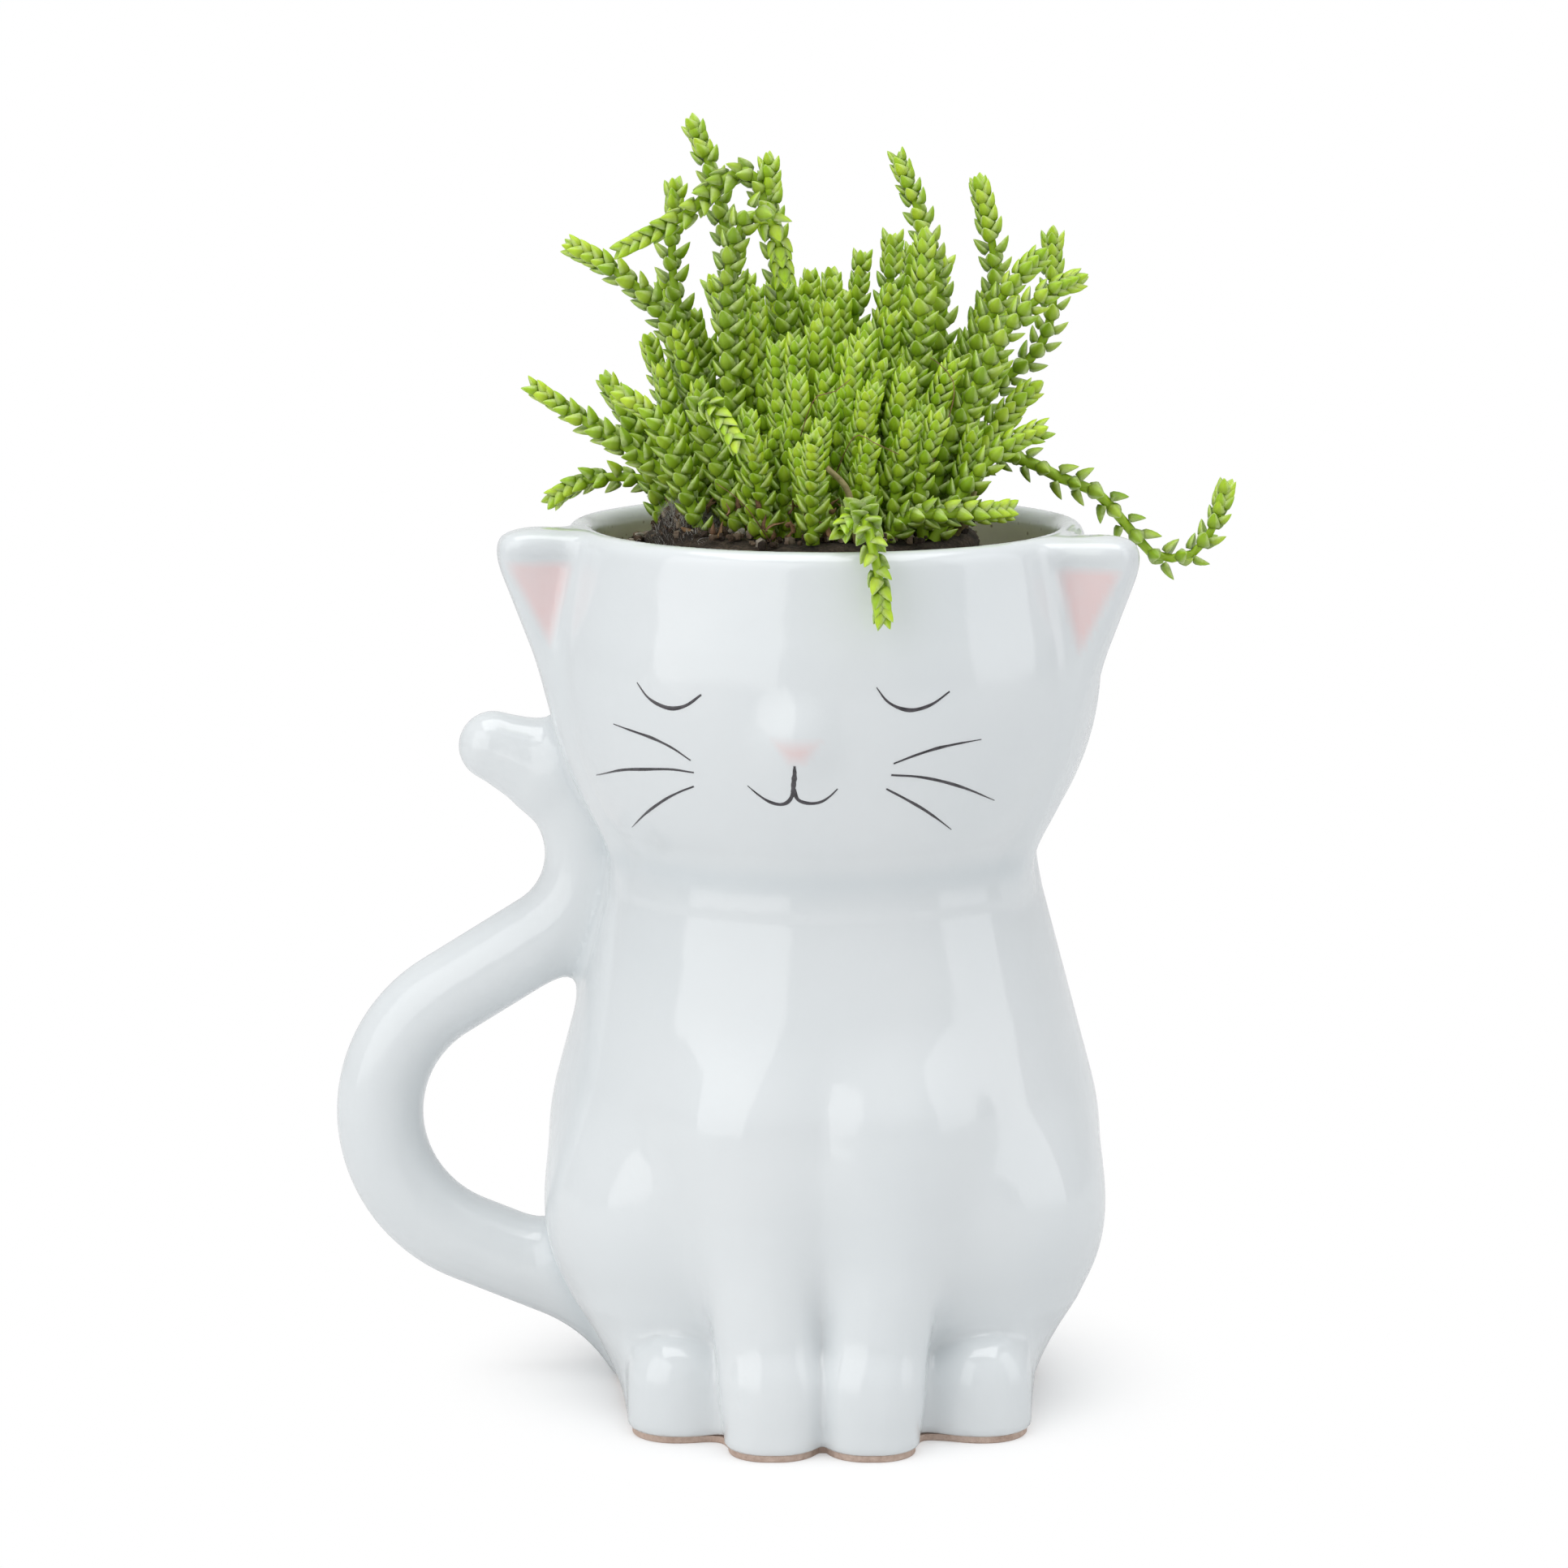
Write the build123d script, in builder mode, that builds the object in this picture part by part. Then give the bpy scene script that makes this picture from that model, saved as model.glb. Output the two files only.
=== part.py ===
from build123d import *
import os
from math import cos, pi, radians, sin, sqrt, tan

# A ceramic planter in the shape of a sitting cat, with a succulent in its open head.
# The cat faces -Y, its tail is on the -X side and +Z is up. The origin is on the table,
# under the centre of the head. All sizes are in millimetres.

# Base
pad_thickness = 1.0
floor_thickness = 5.0

# Body: a ball, with a straight run up to the neck and another down to the base, each
# touching the ball. Its axis leans back from the neck, as a sitting cat's does.
body_radius = 42.0
neck_run = 34.1
neck_angle = 15.0
neck_overlap = 2.0
base_run = 22.6
base_angle = 18.9
body_lean = 4.0

# Head: a ball, with a straight brow that runs up to the rim and a short chin below
head_radius = 41.2
brow_run = 13.6
brow_angle = 9.7
chin_run = 4.0
chin_angle = 39.4
chin_drop = 0.7
head_turn = 6.0
lip_chamfer = 1.3

# Neck: a ring that softens the crease under the chin
neck_ring_proud = 0.4
neck_ring_rise = 3.0
neck_ring_drop = 3.0

# Forelegs: round bars against the chest, with a ball at each shoulder. Reaches and fronts
# are measured from the surface of the body or from the edge of its base.
leg_radius = 7.2
shoulder_height = 47.0
shoulder_spread = 8.6
shoulder_inset = 9.4
ankle_height = 9.0
ankle_spread = 7.3
ankle_reach = 3.8

# Paws: blocks with rounded corners
forepaw_width = 14.2
forepaw_depth = 17.0
forepaw_height = 15.6
forepaw_reach = 11.5
forepaw_round = 5.2
hind_paw_width = 13.6
hind_paw_depth = 17.0
hind_paw_height = 14.4
hind_paw_reach = 2.0
hind_paw_spread = 22.6
hind_paw_round = 5.2
paw_chamfer = 2.4

# Haunches: each is a ball set into the side of the body
haunch_radius = 24.0
haunch_spread = 16.8
haunch_reach = 6.5
haunch_height = 31.0

# Ears: a rounded triangle that stands out of the side of the head
ear_angle = 75.0
ear_reach = 12.9
ear_sink = 1.3
ear_foot_inset = 1.0
ear_drop = 28.0
ear_rise = 0.8
ear_tip_round = 4.2
ear_front = 8.2
ear_thickness = 9.6
ear_taper = 16.0
ear_chamfer = 0.9
ear_recess_depth = 0.8
ear_recess_border = 2.6
ear_recess_inset = 3.0
ear_recess_width = 9.2
ear_recess_drop = 12.2
ear_recess_lean = 5.6

# Nose: a ball sunk into the front of the face
nose_radius = 5.0
nose_drop = 6.0
nose_proud = 2.0

# Hollow of the pot: a mouth, a throat and a belly, joined by cones
wall = 4.0
throat_rise = 5.0
throat_end_drop = 12.0
belly_wall = 7.4
belly_rise = 17.0
belly_fall = 15.0

# Tail handle: one rod, bent in a plane a little behind the middle of the cat
tail_radius = 6.6
tail_plane = 6.0
tail_root_sink = 4.0
tail_root_height = 9.0
tail_root_length = 28.7
tail_root_angle = 22.0
tail_loop_radius = 21.4
tail_loop_angle = 126.0
tail_neck_length = 17.6
tail_waist_radius = 15.2
tail_waist_angle = 108.0
tail_tip_length = 8.5
tail_shoulder_length = 3.6
tail_shoulder_taper = 20.0
tail_crown_length = 2.0
tail_crown_taper = 52.0
loop_bends = 8
waist_bends = 6

# Pad under the pot
pad_margin = 1.4
pad_corner_round = 3.6

# Fill of the pot: soil that is heaped from the wall up to the plug
fill_gap = 0.25
soil_drop = 11.5
heap_drop = 5.0
heap_width = 6.3

# Root plug of the plant
plug_drop = 1.0
plug_depth = 47.0
plug_ring = 9.1
plug_base_ring = 6.9
plug_offset = -2.0
plug_gap = 0.3
plug_edge = 0.7
side_count = 24

# Plant
plant_rise = 60.0
reach_past_rim = 21.7
stem_clearance = 1.85
tier_flare = 1.8
bud_taper = 1.0
stem_tip_width = 1.4
tier_length = 8.2
tier_overlap = 0.6
site_inset = 2.9
site_count = 40
site_angle = 137.5
crown_height = 33.0
crown_dome = 10.0
crown_tilt = 8.0
crown_spread = 9.0
crown_bow = 1.5

# One overrun for every cut that has to pass a face
overrun = 3.0

os.makedirs("parts", exist_ok=True)


def touch_reach(radius, run, angle):
    """Height from a ball's middle to the end of a straight run that touches it at an angle."""
    return radius * sin(radians(angle)) + run


def touch_radius(radius, run, angle):
    """Radius at the end of a straight run that touches a ball at an angle."""
    return radius * cos(radians(angle)) - run * tan(radians(angle))


def ball_form(radius, top_run, top_angle, low_run, low_angle):
    """Ball at the origin, with a cone that touches it running up and another running down."""
    rise = touch_reach(radius, top_run, top_angle)
    drop = touch_reach(radius, low_run, low_angle)
    top_radius = touch_radius(radius, top_run, top_angle)
    low_radius = touch_radius(radius, low_run, low_angle)
    with BuildPart() as form:
        with BuildSketch(Plane.XZ) as half_outline:
            with BuildLine():
                side = CenterArc((0, 0), radius, -low_angle, low_angle + top_angle)
                Polyline(side @ 1, (top_radius, rise), (0, rise), (0, -drop), (low_radius, -drop), side @ 0)
            make_face()
        revolve(half_outline.sketch, axis=Axis.Z)
    return form.part


def round_form(rows):
    """Solid of revolution through rows of radius and height."""
    with BuildPart() as form:
        with BuildSketch(Plane.XZ) as half_outline:
            with BuildLine():
                Polyline((0, rows[0][1]), *rows, (0, rows[-1][1]), close=True)
            make_face()
        revolve(half_outline.sketch, axis=Axis.Z)
    return form.part


def faceted_form(rows, gap):
    """Many-sided solid of flat faces through rows of radius and height, drawn in by a gap."""
    rings = []
    for radius, height in rows:
        corners = [radians(360 * side / side_count) for side in range(side_count)]
        rings.append([((radius - gap) * cos(turn), (radius - gap) * sin(turn), height) for turn in corners])
    faces = [Face(Wire.make_polygon(rings[0])), Face(Wire.make_polygon(rings[-1]))]
    for low, high in zip(rings, rings[1:]):
        for side in range(side_count):
            faces.append(Face(Wire.make_polygon([low[side - 1], low[side], high[side], high[side - 1]])))
    return Solid(Shell(faces))


def leaned(form):
    """Form drawn with the neck as its origin, set under the neck on the leaning axis."""
    return Location((0, 0, neck_height), (body_lean, 0, 0)) * form


def paw(width, depth, height, corner_round):
    """Block of a paw, with the middle of its lower front edge on the origin."""
    with BuildPart() as block:
        Box(width, depth, height, align=(Align.CENTER, Align.MIN, Align.MIN))
        fillet(block.edges().filter_by(Axis.Z), corner_round)
        chamfer(block.faces().sort_by(Axis.Z)[-1].edges(), paw_chamfer)
    return block.part


def foreleg(side):
    """Bar from the ankle on one side up to a ball at the shoulder."""
    ankle = Vector(side * ankle_spread, -base_radius - ankle_reach, ankle_height)
    shoulder = Vector(side * shoulder_spread, shoulder_inset - body_radius, shoulder_height)
    with BuildSketch(Plane(origin=ankle, z_dir=shoulder - ankle)) as leg_section:
        Circle(leg_radius)
    extrude(leg_section.sketch, amount=(shoulder - ankle).length)
    with Locations(shoulder):
        Sphere(leg_radius)


# Heights and radii that follow from the stack of body, neck and head
floor_height = pad_thickness + floor_thickness
body_drop = touch_reach(body_radius, neck_run, neck_angle)
base_drop = touch_reach(body_radius, base_run, base_angle)
base_radius = touch_radius(body_radius, base_run, base_angle)
neck_radius = touch_radius(body_radius, neck_run + neck_overlap, neck_angle)
neck_height = pad_thickness + (body_drop + base_drop) * cos(radians(body_lean))
head_height = neck_height - chin_drop + touch_reach(head_radius, chin_run, chin_angle)
rim_height = head_height + touch_reach(head_radius, brow_run, brow_angle)
rim_radius = touch_radius(head_radius, brow_run, brow_angle)

# Body, drawn with the middle of its ball at the origin and run on past the base
base_overrun = base_radius * tan(radians(body_lean)) + overrun
body = ball_form(body_radius, neck_run + neck_overlap, neck_angle, base_run + base_overrun, base_angle)
head = ball_form(head_radius, brow_run, brow_angle, chin_run, chin_angle)
forepaw = paw(forepaw_width, forepaw_depth, forepaw_height, forepaw_round)
hind_paw = paw(hind_paw_width, hind_paw_depth, hind_paw_height, hind_paw_round)

# Outer form of the cat without its ears, solid, from which the pot is hollowed
with BuildPart() as cat_form:
    add(leaned(Location((0, 0, -body_drop)) * body))
    for side in (-1, 1):
        with Locations((side * haunch_spread, -haunch_reach, haunch_height)):
            Sphere(haunch_radius)
        foreleg(side)
        with Locations((side * ankle_spread, -base_radius - forepaw_reach, pad_thickness)):
            add(forepaw)
        with Locations((side * hind_paw_spread, -base_radius - hind_paw_reach, pad_thickness)):
            add(hind_paw)
    split(bisect_by=Plane((0, 0, pad_thickness)))
    with Locations((0, 0, neck_height - neck_ring_drop)):
        Cylinder(
            neck_radius + neck_ring_proud,
            neck_ring_drop + neck_ring_rise,
            align=(Align.CENTER, Align.CENTER, Align.MIN),
        )
    with Locations((0, 0, head_height)):
        add(head)
    face_radius = sqrt(head_radius**2 - nose_drop**2) - nose_radius + nose_proud
    turn = radians(head_turn)
    with Locations((-face_radius * sin(turn), -face_radius * cos(turn), head_height - nose_drop)):
        Sphere(nose_radius)

# Hollow of the pot. The mouth and throat are upright, and the belly leans with the body.
# The throat passes through the neck or the chin, whichever is narrower.
mouth_radius = rim_radius - wall
mouth_end_height = head_height - sqrt(head_radius**2 - rim_radius**2)
throat_radius = min(neck_radius, head_radius * cos(radians(chin_angle))) - wall
belly_radius = body_radius - belly_wall
mouth_rows = [
    (throat_radius, neck_height - throat_end_drop),
    (throat_radius, neck_height + throat_rise),
    (mouth_radius, mouth_end_height),
]
belly_rows = [
    (base_radius - wall, -body_drop - base_drop),
    (belly_radius, -body_drop - belly_fall),
    (belly_radius, belly_rise - body_drop),
    (throat_radius, -throat_end_drop),
]
with BuildPart() as hollow:
    add(leaned(round_form(belly_rows)))
    split(bisect_by=Plane((0, 0, floor_height)))
    add(round_form(mouth_rows + [(mouth_radius, rim_height + overrun)]))

# Ears, made as a pair and turned with the head
with BuildPart() as ears:
    ear_direction = (sin(radians(ear_angle)), -cos(radians(ear_angle)), 0)
    ear_normal = (-cos(radians(ear_angle)), -sin(radians(ear_angle)), 0)
    ear_plane = Plane(origin=(0, 0, 0), x_dir=ear_direction, z_dir=ear_normal).offset(ear_front)
    ear_top = rim_height + ear_rise
    ear_tip_radius = rim_radius + ear_reach
    with BuildSketch(ear_plane) as ear_outline:
        with BuildLine():
            Polyline(
                (mouth_radius - ear_sink, rim_height - ear_drop),
                (head_radius - ear_foot_inset, rim_height - ear_drop),
                (ear_tip_radius, ear_top),
                (mouth_radius - ear_sink, ear_top),
                close=True,
            )
        make_face()
        fillet(ear_outline.vertices().sort_by(Axis.X)[-1], ear_tip_round)
    extrude(amount=-ear_thickness, taper=ear_taper)
    chamfer(ears.faces().sort_by(Axis(ear_plane.origin, ear_normal))[-1].edges(), ear_chamfer)
    with BuildSketch(ear_plane) as ear_recess:
        recess_outer = ear_tip_radius - ear_recess_inset
        recess_top = ear_top - ear_recess_border
        with BuildLine():
            Polyline(
                (recess_outer, recess_top),
                (recess_outer - ear_recess_width, recess_top),
                (recess_outer - ear_recess_lean, recess_top - ear_recess_drop),
                close=True,
            )
        make_face()
    extrude(amount=-ear_recess_depth, mode=Mode.SUBTRACT)
    mirror(about=Plane.YZ)

with BuildPart() as cat_pot:
    add(cat_form.part)
    add(hollow.part, mode=Mode.SUBTRACT)
    chamfer(cat_pot.faces().filter_by(Axis.Z).sort_by(Axis.Z)[-1].edges(), lip_chamfer)
    add(ears.part, rotation=(0, 0, -head_turn))
    add(hollow.part, mode=Mode.SUBTRACT)
cat_pot.part.label = "cat_pot"
export_step(cat_pot.part, "parts/cat_pot.step")

# Tail handle: a root, a loop, a neck that meets the flank, a waist and a free tip.
# Both bends are made of short straight runs.
with BuildPart() as tail_handle:
    tail_root = (tail_root_sink - base_radius, pad_thickness + tail_root_height)
    with BuildLine(Plane.XZ.offset(-tail_plane), mode=Mode.PRIVATE):
        root = PolarLine(tail_root, tail_root_length, 180 - tail_root_angle)
        loop = JernArc(root @ 1, root % 1, tail_loop_radius, -tail_loop_angle)
        neck = PolarLine(loop @ 1, tail_neck_length, direction=loop % 1)
        waist = JernArc(neck @ 1, neck % 1, tail_waist_radius, tail_waist_angle)
        tip = PolarLine(waist @ 1, tail_tip_length, direction=waist % 1)
    tail_points = [root @ 0]
    tail_points += [loop @ (step / loop_bends) for step in range(loop_bends + 1)]
    tail_points += [waist @ (step / waist_bends) for step in range(waist_bends + 1)]
    tail_points += [tip @ 1]
    with BuildLine() as tail_path:
        Polyline(*tail_points)
    with BuildSketch(Plane(origin=root @ 0, z_dir=root % 0)):
        Circle(tail_radius)
    sweep(transition=Transition.RIGHT)
    with BuildSketch(Plane(origin=tip @ 1, z_dir=tip % 1)):
        Circle(tail_radius)
    extrude(amount=tail_shoulder_length, taper=tail_shoulder_taper)
    crown_start = (tip @ 1) + (tip % 1) * tail_shoulder_length
    with BuildSketch(Plane(origin=crown_start, z_dir=tip % 1)):
        Circle(tail_radius - tail_shoulder_length * tan(radians(tail_shoulder_taper)))
    extrude(amount=tail_crown_length, taper=tail_crown_taper)
    add(cat_form.part, mode=Mode.SUBTRACT)
tail_handle.part.label = "tail_handle"
export_step(tail_handle.part, "parts/tail_handle.step")

# Cork pad glued under the pot, a little inside its outline
with BuildPart() as cork_foot_pad:
    base_shift = (neck_height - pad_thickness) * tan(radians(body_lean))
    pads = [
        (ankle_spread, base_radius + forepaw_reach, forepaw_width),
        (hind_paw_spread, base_radius + hind_paw_reach, hind_paw_width),
    ]
    with BuildSketch():
        with Locations((0, base_shift)):
            Circle(base_radius - pad_margin)
        for spread, front, width in pads:
            near = pad_margin - front
            with Locations((-spread, near), (spread, near)):
                RectangleRounded(
                    width - 2 * pad_margin,
                    front,
                    pad_corner_round,
                    align=(Align.CENTER, Align.MIN),
                )
    extrude(amount=pad_thickness)
cork_foot_pad.part.label = "cork_foot_pad"
export_step(cork_foot_pad.part, "parts/cork_foot_pad.step")

# Root plug, whose flat top carries the stems
plug_top_height = rim_height - plug_drop
plug_base_height = plug_top_height - plug_depth
plug_top_radius = mouth_radius - plug_ring
plug_base_radius = throat_radius - plug_base_ring
plug_slope = (plug_top_radius - plug_base_radius) / plug_depth
plug_rows = [
    (plug_base_radius, plug_base_height),
    (plug_top_radius - plug_slope * plug_edge, plug_top_height - plug_edge),
]
with BuildPart() as root_plug:
    with Locations((plug_offset, 0, 0)):
        add(faceted_form(plug_rows + [(plug_top_radius - plug_edge, plug_top_height)], 0))
root_plug.part.label = "root_plug"
export_step(root_plug.part, "parts/root_plug.step")

# Potting mix: it fills the hollow up to the soil line, and is heaped against the plug
soil_rows = mouth_rows + [
    (mouth_radius, rim_height - soil_drop),
    (mouth_radius - heap_width, rim_height - heap_drop),
]
with BuildPart() as potting_mix:
    add(leaned(faceted_form(belly_rows, fill_gap)))
    split(bisect_by=Plane((0, 0, floor_height)))
    add(faceted_form(soil_rows, fill_gap))
    with Locations((plug_offset, 0, 0)):
        add(faceted_form(plug_rows, -plug_gap), mode=Mode.SUBTRACT)
potting_mix.part.label = "potting_mix"
export_step(potting_mix.part, "parts/potting_mix.step")

# Route of each stem that shows by itself: its site, then points as shares of reach and rise
stem_route_shares = {
    "trailing_stem_right": (29, [
        (0.33, 0.15, 0.12), (0.43, 0.15, 0.17), (0.52, 0.13, 0.15), (0.60, 0.12, 0.11), (0.68, 0.12, 0.08),
        (0.77, 0.12, -0.02), (0.83, 0.10, -0.08), (0.92, 0.08, -0.07), (0.97, 0.07, 0.00), (1.00, 0.07, 0.10),
    ]),
    "trailing_stem_front": (23, [
        (0.07, -0.37, 0.07), (0.08, -0.48, 0.10), (0.09, -0.59, 0.10),
        (0.10, -0.69, 0.06), (0.12, -0.73, -0.03), (0.13, -0.75, -0.13),
    ]),
    "trailing_stem_left": (30, [
        (-0.40, 0.09, 0.09), (-0.48, 0.08, 0.12), (-0.57, 0.07, 0.12), (-0.63, 0.07, 0.10), (-0.69, 0.06, 0.06),
    ]),
    "reclining_stem": (31, [(0.20, -0.33, 0.07), (0.28, -0.35, 0.08), (0.37, -0.33, 0.08), (0.45, -0.28, 0.08)]),
    "leaning_stem": (20, [(-0.27, -0.21, 0.20), (-0.30, -0.25, 0.32), (-0.27, -0.34, 0.33), (-0.21, -0.43, 0.25)]),
    "arching_stem_high": (17, [
        (-0.31, 0.00, 0.23), (-0.35, -0.02, 0.42), (-0.43, -0.03, 0.57), (-0.53, -0.03, 0.65), (-0.62, -0.03, 0.70),
    ]),
    "arching_stem_low": (25, [(-0.37, -0.13, 0.13), (-0.47, -0.16, 0.21), (-0.58, -0.16, 0.28), (-0.72, -0.15, 0.37)]),
    "short_stem_left": (33, [(-0.36, -0.23, 0.18), (-0.42, -0.24, 0.30), (-0.50, -0.24, 0.36)]),
    "tall_stem_left": (14, [
        (-0.20, 0.18, 0.40), (-0.23, 0.14, 0.63), (-0.26, 0.12, 0.78), (-0.29, 0.11, 0.90), (-0.33, 0.10, 1.00),
    ]),
    "forked_stem": (1, [(-0.09, 0.06, 0.33), (-0.11, 0.06, 0.57), (-0.13, 0.04, 0.75), (-0.14, 0.03, 0.90)]),
    "outer_stem_left": (9, [
        (-0.25, 0.08, 0.20), (-0.32, 0.08, 0.40), (-0.37, 0.08, 0.57), (-0.38, 0.08, 0.70), (-0.37, 0.07, 0.85),
    ]),
    "curled_stem": (12, [
        (-0.23, -0.11, 0.25), (-0.24, -0.10, 0.55), (-0.23, -0.10, 0.70), (-0.18, -0.11, 0.79),
        (-0.13, -0.12, 0.76), (-0.11, -0.12, 0.68), (-0.10, -0.12, 0.62),
    ]),
    "upright_stem": (24, [(0.14, 0.25, 0.30), (0.16, 0.24, 0.53), (0.17, 0.24, 0.72)]),
    "tall_stem_right": (8, [
        (0.20, 0.08, 0.22), (0.28, 0.09, 0.43), (0.28, 0.07, 0.60), (0.23, 0.02, 0.78), (0.18, 0.00, 0.91),
    ]),
    "tall_stem_far_right": (16, [
        (0.24, 0.18, 0.22), (0.34, 0.17, 0.40), (0.42, 0.13, 0.58), (0.41, 0.11, 0.72), (0.38, 0.10, 0.85),
    ]),
    "inner_stem_right": (13, [(0.20, -0.06, 0.23), (0.23, -0.07, 0.47), (0.24, -0.08, 0.73)]),
    "outer_stem_right_top": (37, [
        (0.32, 0.26, 0.17), (0.43, 0.24, 0.33), (0.53, 0.23, 0.42),
        (0.57, 0.23, 0.52), (0.57, 0.23, 0.62), (0.57, 0.23, 0.72),
    ]),
    "outer_stem_right_long": (26, [
        (0.29, -0.13, 0.20), (0.36, -0.13, 0.35), (0.44, -0.12, 0.50), (0.53, -0.12, 0.59), (0.62, -0.12, 0.63),
    ]),
    "outer_stem_right_middle": (21, [
        (0.29, 0.04, 0.20), (0.35, 0.03, 0.40), (0.42, 0.01, 0.55), (0.47, 0.00, 0.62), (0.53, 0.00, 0.68),
    ]),
    "short_stem_right_upper": (34, [(0.36, -0.03, 0.17), (0.43, -0.04, 0.28), (0.52, -0.04, 0.36)]),
    "short_stem_right_lower": (39, [(0.34, -0.22, 0.13), (0.44, -0.21, 0.23), (0.53, -0.20, 0.27)]),
}

# Side shoot of the forked stem: it leaves the stem near its top and arches left
fork_route_shares = [
    (-0.13, 0.04, 0.77), (-0.17, 0.03, 0.86), (-0.21, 0.02, 0.88), (-0.28, 0.00, 0.84),
    (-0.33, -0.04, 0.79), (-0.42, -0.08, 0.74), (-0.50, -0.11, 0.70),
]

# Stems stand on the plug in a spiral, as wide as its spacing leaves room for, and their
# routes reach out past the rim
site_radius = plug_top_radius - site_inset
stem_width = site_radius * sqrt(pi / site_count) - stem_clearance
plant_reach = rim_radius + reach_past_rim

# Sites of the short stems of the crown, grouped by where they stand
crown_sites = {
    "crown_stems_middle": [0, 2, 4, 5, 7, 10, 3, 6, 11],
    "crown_stems_front": [15, 18, 36],
    "crown_stems_back": [19, 27, 32],
    "crown_stems_left": [22, 35, 38],
}


def site(index):
    """Place of a stem on the plug, measured from the middle of the plug."""
    radius = site_radius * sqrt((index + 0.5) / site_count)
    angle = radians(site_angle * index)
    return Vector(radius * cos(angle), radius * sin(angle), 0)


def on_plug(place):
    """Point on the flat top of the plug."""
    return place + Vector(plug_offset, 0, plug_top_height)


def route_points(route_shares):
    """Points of a route in millimetres, worked out from its shares."""
    points = []
    for x_share, y_share, rise_share in route_shares:
        points.append(
            Vector(x_share * plant_reach, y_share * plant_reach, plug_top_height + rise_share * plant_rise)
        )
    return points


def crown_route(index):
    """Base and tip of a crown stem, which leans outwards more the nearer it is to the edge."""
    base = site(index)
    share = base.length / site_radius
    tip = base + base.normalized() * crown_spread * share**2
    height = crown_height - crown_dome * share**2 + crown_tilt * base.Y / site_radius
    middle = (base + tip) / 2 - base.normalized() * crown_bow * share
    return [on_plug(base), on_plug(middle + Vector(0, 0, height / 2)), on_plug(tip + Vector(0, 0, height))]


def tier(start, end, across, width, end_width):
    """Square tier of leaves from its start to its end, with one pair of sides along across."""
    along = (end - start).normalized()
    depth = across.cross(along)
    middle = Plane(origin=(start + end) / 2, x_dir=along.cross(depth), z_dir=depth)
    near = (width - end_width) / 2
    far = (width + end_width) / 2
    with Locations(middle):
        Wedge(width, (end - start).length, width, near, near, far, far)


def stem(points):
    """Chain of square leaf tiers that widen upwards, along a smooth line through the points."""
    with BuildLine(mode=Mode.PRIVATE):
        route = Spline(*points)
    across = points[-1] - points[0]
    across = Vector(-across.Y, across.X, 0)
    tiers = max(2, round(route.length / tier_length))
    for count in range(tiers):
        start = route @ (count / tiers)
        end = route @ ((count + 1) / tiers)
        start -= (end - start).normalized() * tier_overlap
        if count < tiers - 1:
            tier(start, end, across, stem_width - tier_flare, stem_width)
        else:
            tier(start, end, across, stem_width - bud_taper, stem_tip_width)
        if count == 0:
            split(bisect_by=Plane(points[0]))


for name, (index, route_shares) in stem_route_shares.items():
    with BuildPart() as shown_stem:
        stem([on_plug(site(index))] + route_points(route_shares))
    if name == "forked_stem":
        with BuildPart() as side_shoot:
            stem(route_points(fork_route_shares))
        with shown_stem:
            add(side_shoot.part)
    shown_stem.part.label = name
    export_step(shown_stem.part, f"parts/{name}.step")

for name, indices in crown_sites.items():
    stems = []
    for index in indices:
        with BuildPart() as crown_stem:
            stem(crown_route(index))
        stems.append(crown_stem.part)
    with BuildPart() as crown:
        add(stems)
    crown.part.label = name
    export_step(crown.part, f"parts/{name}.step")
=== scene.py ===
# %% [markdown]
# # A cat-shaped planter with a succulent
# A glazed ceramic cat sits with its head open at the top, and a succulent with square leafy stems grows out
# of it. The CAD model comes from model.glb, whose sizes and places this script keeps. The script dresses it:
# the glazed pot and tail, the painted face, the soil, and each stem of the plant with its leaves.

# %% Start: load the CAD model
import math
import bpy
import numpy as np
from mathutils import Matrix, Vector


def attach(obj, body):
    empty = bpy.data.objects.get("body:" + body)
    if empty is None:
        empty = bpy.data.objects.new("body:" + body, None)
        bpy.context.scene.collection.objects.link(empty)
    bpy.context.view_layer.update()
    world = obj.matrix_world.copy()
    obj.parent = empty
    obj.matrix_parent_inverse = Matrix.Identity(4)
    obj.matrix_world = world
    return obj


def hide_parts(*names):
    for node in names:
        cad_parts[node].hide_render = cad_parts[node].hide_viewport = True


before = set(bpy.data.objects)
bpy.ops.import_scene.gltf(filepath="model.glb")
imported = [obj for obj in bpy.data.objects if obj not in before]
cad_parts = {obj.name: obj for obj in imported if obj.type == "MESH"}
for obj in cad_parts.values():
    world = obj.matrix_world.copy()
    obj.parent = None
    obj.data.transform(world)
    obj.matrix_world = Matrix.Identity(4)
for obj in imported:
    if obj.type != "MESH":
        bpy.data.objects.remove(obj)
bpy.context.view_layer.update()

MM = 0.001

# %% [markdown]
# ## Camera
# A photo is taken from one place with one lens. A camera could be set by eye until the view looks right.
# Here it was fitted by numbers, so that pixels of the photo can later be cast onto the pot: its height,
# pitch and lens bring the rim's ellipse, the base and both ears to where the photo has them. The picture is
# square, so the lens follows from a 36 mm sensor.

# %% Camera
CAMERA_MM = np.array([-6.16, -750.0, 221.0])
CAMERA_PITCH = 9.72
FOCAL_PX = 6240.0
PICTURE_PX = 1932.0
SENSOR_MM = 36.0

camera_data = bpy.data.cameras.new("camera")
camera_data.sensor_width = SENSOR_MM
camera_data.lens = FOCAL_PX / PICTURE_PX * SENSOR_MM
camera = bpy.data.objects.new("camera", camera_data)
camera.location = CAMERA_MM * MM
camera.rotation_euler = (math.radians(90 - CAMERA_PITCH), 0, 0)
bpy.context.scene.collection.objects.link(camera)
bpy.context.scene.camera = camera
print("lens", round(camera_data.lens, 1), "mm")

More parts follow.
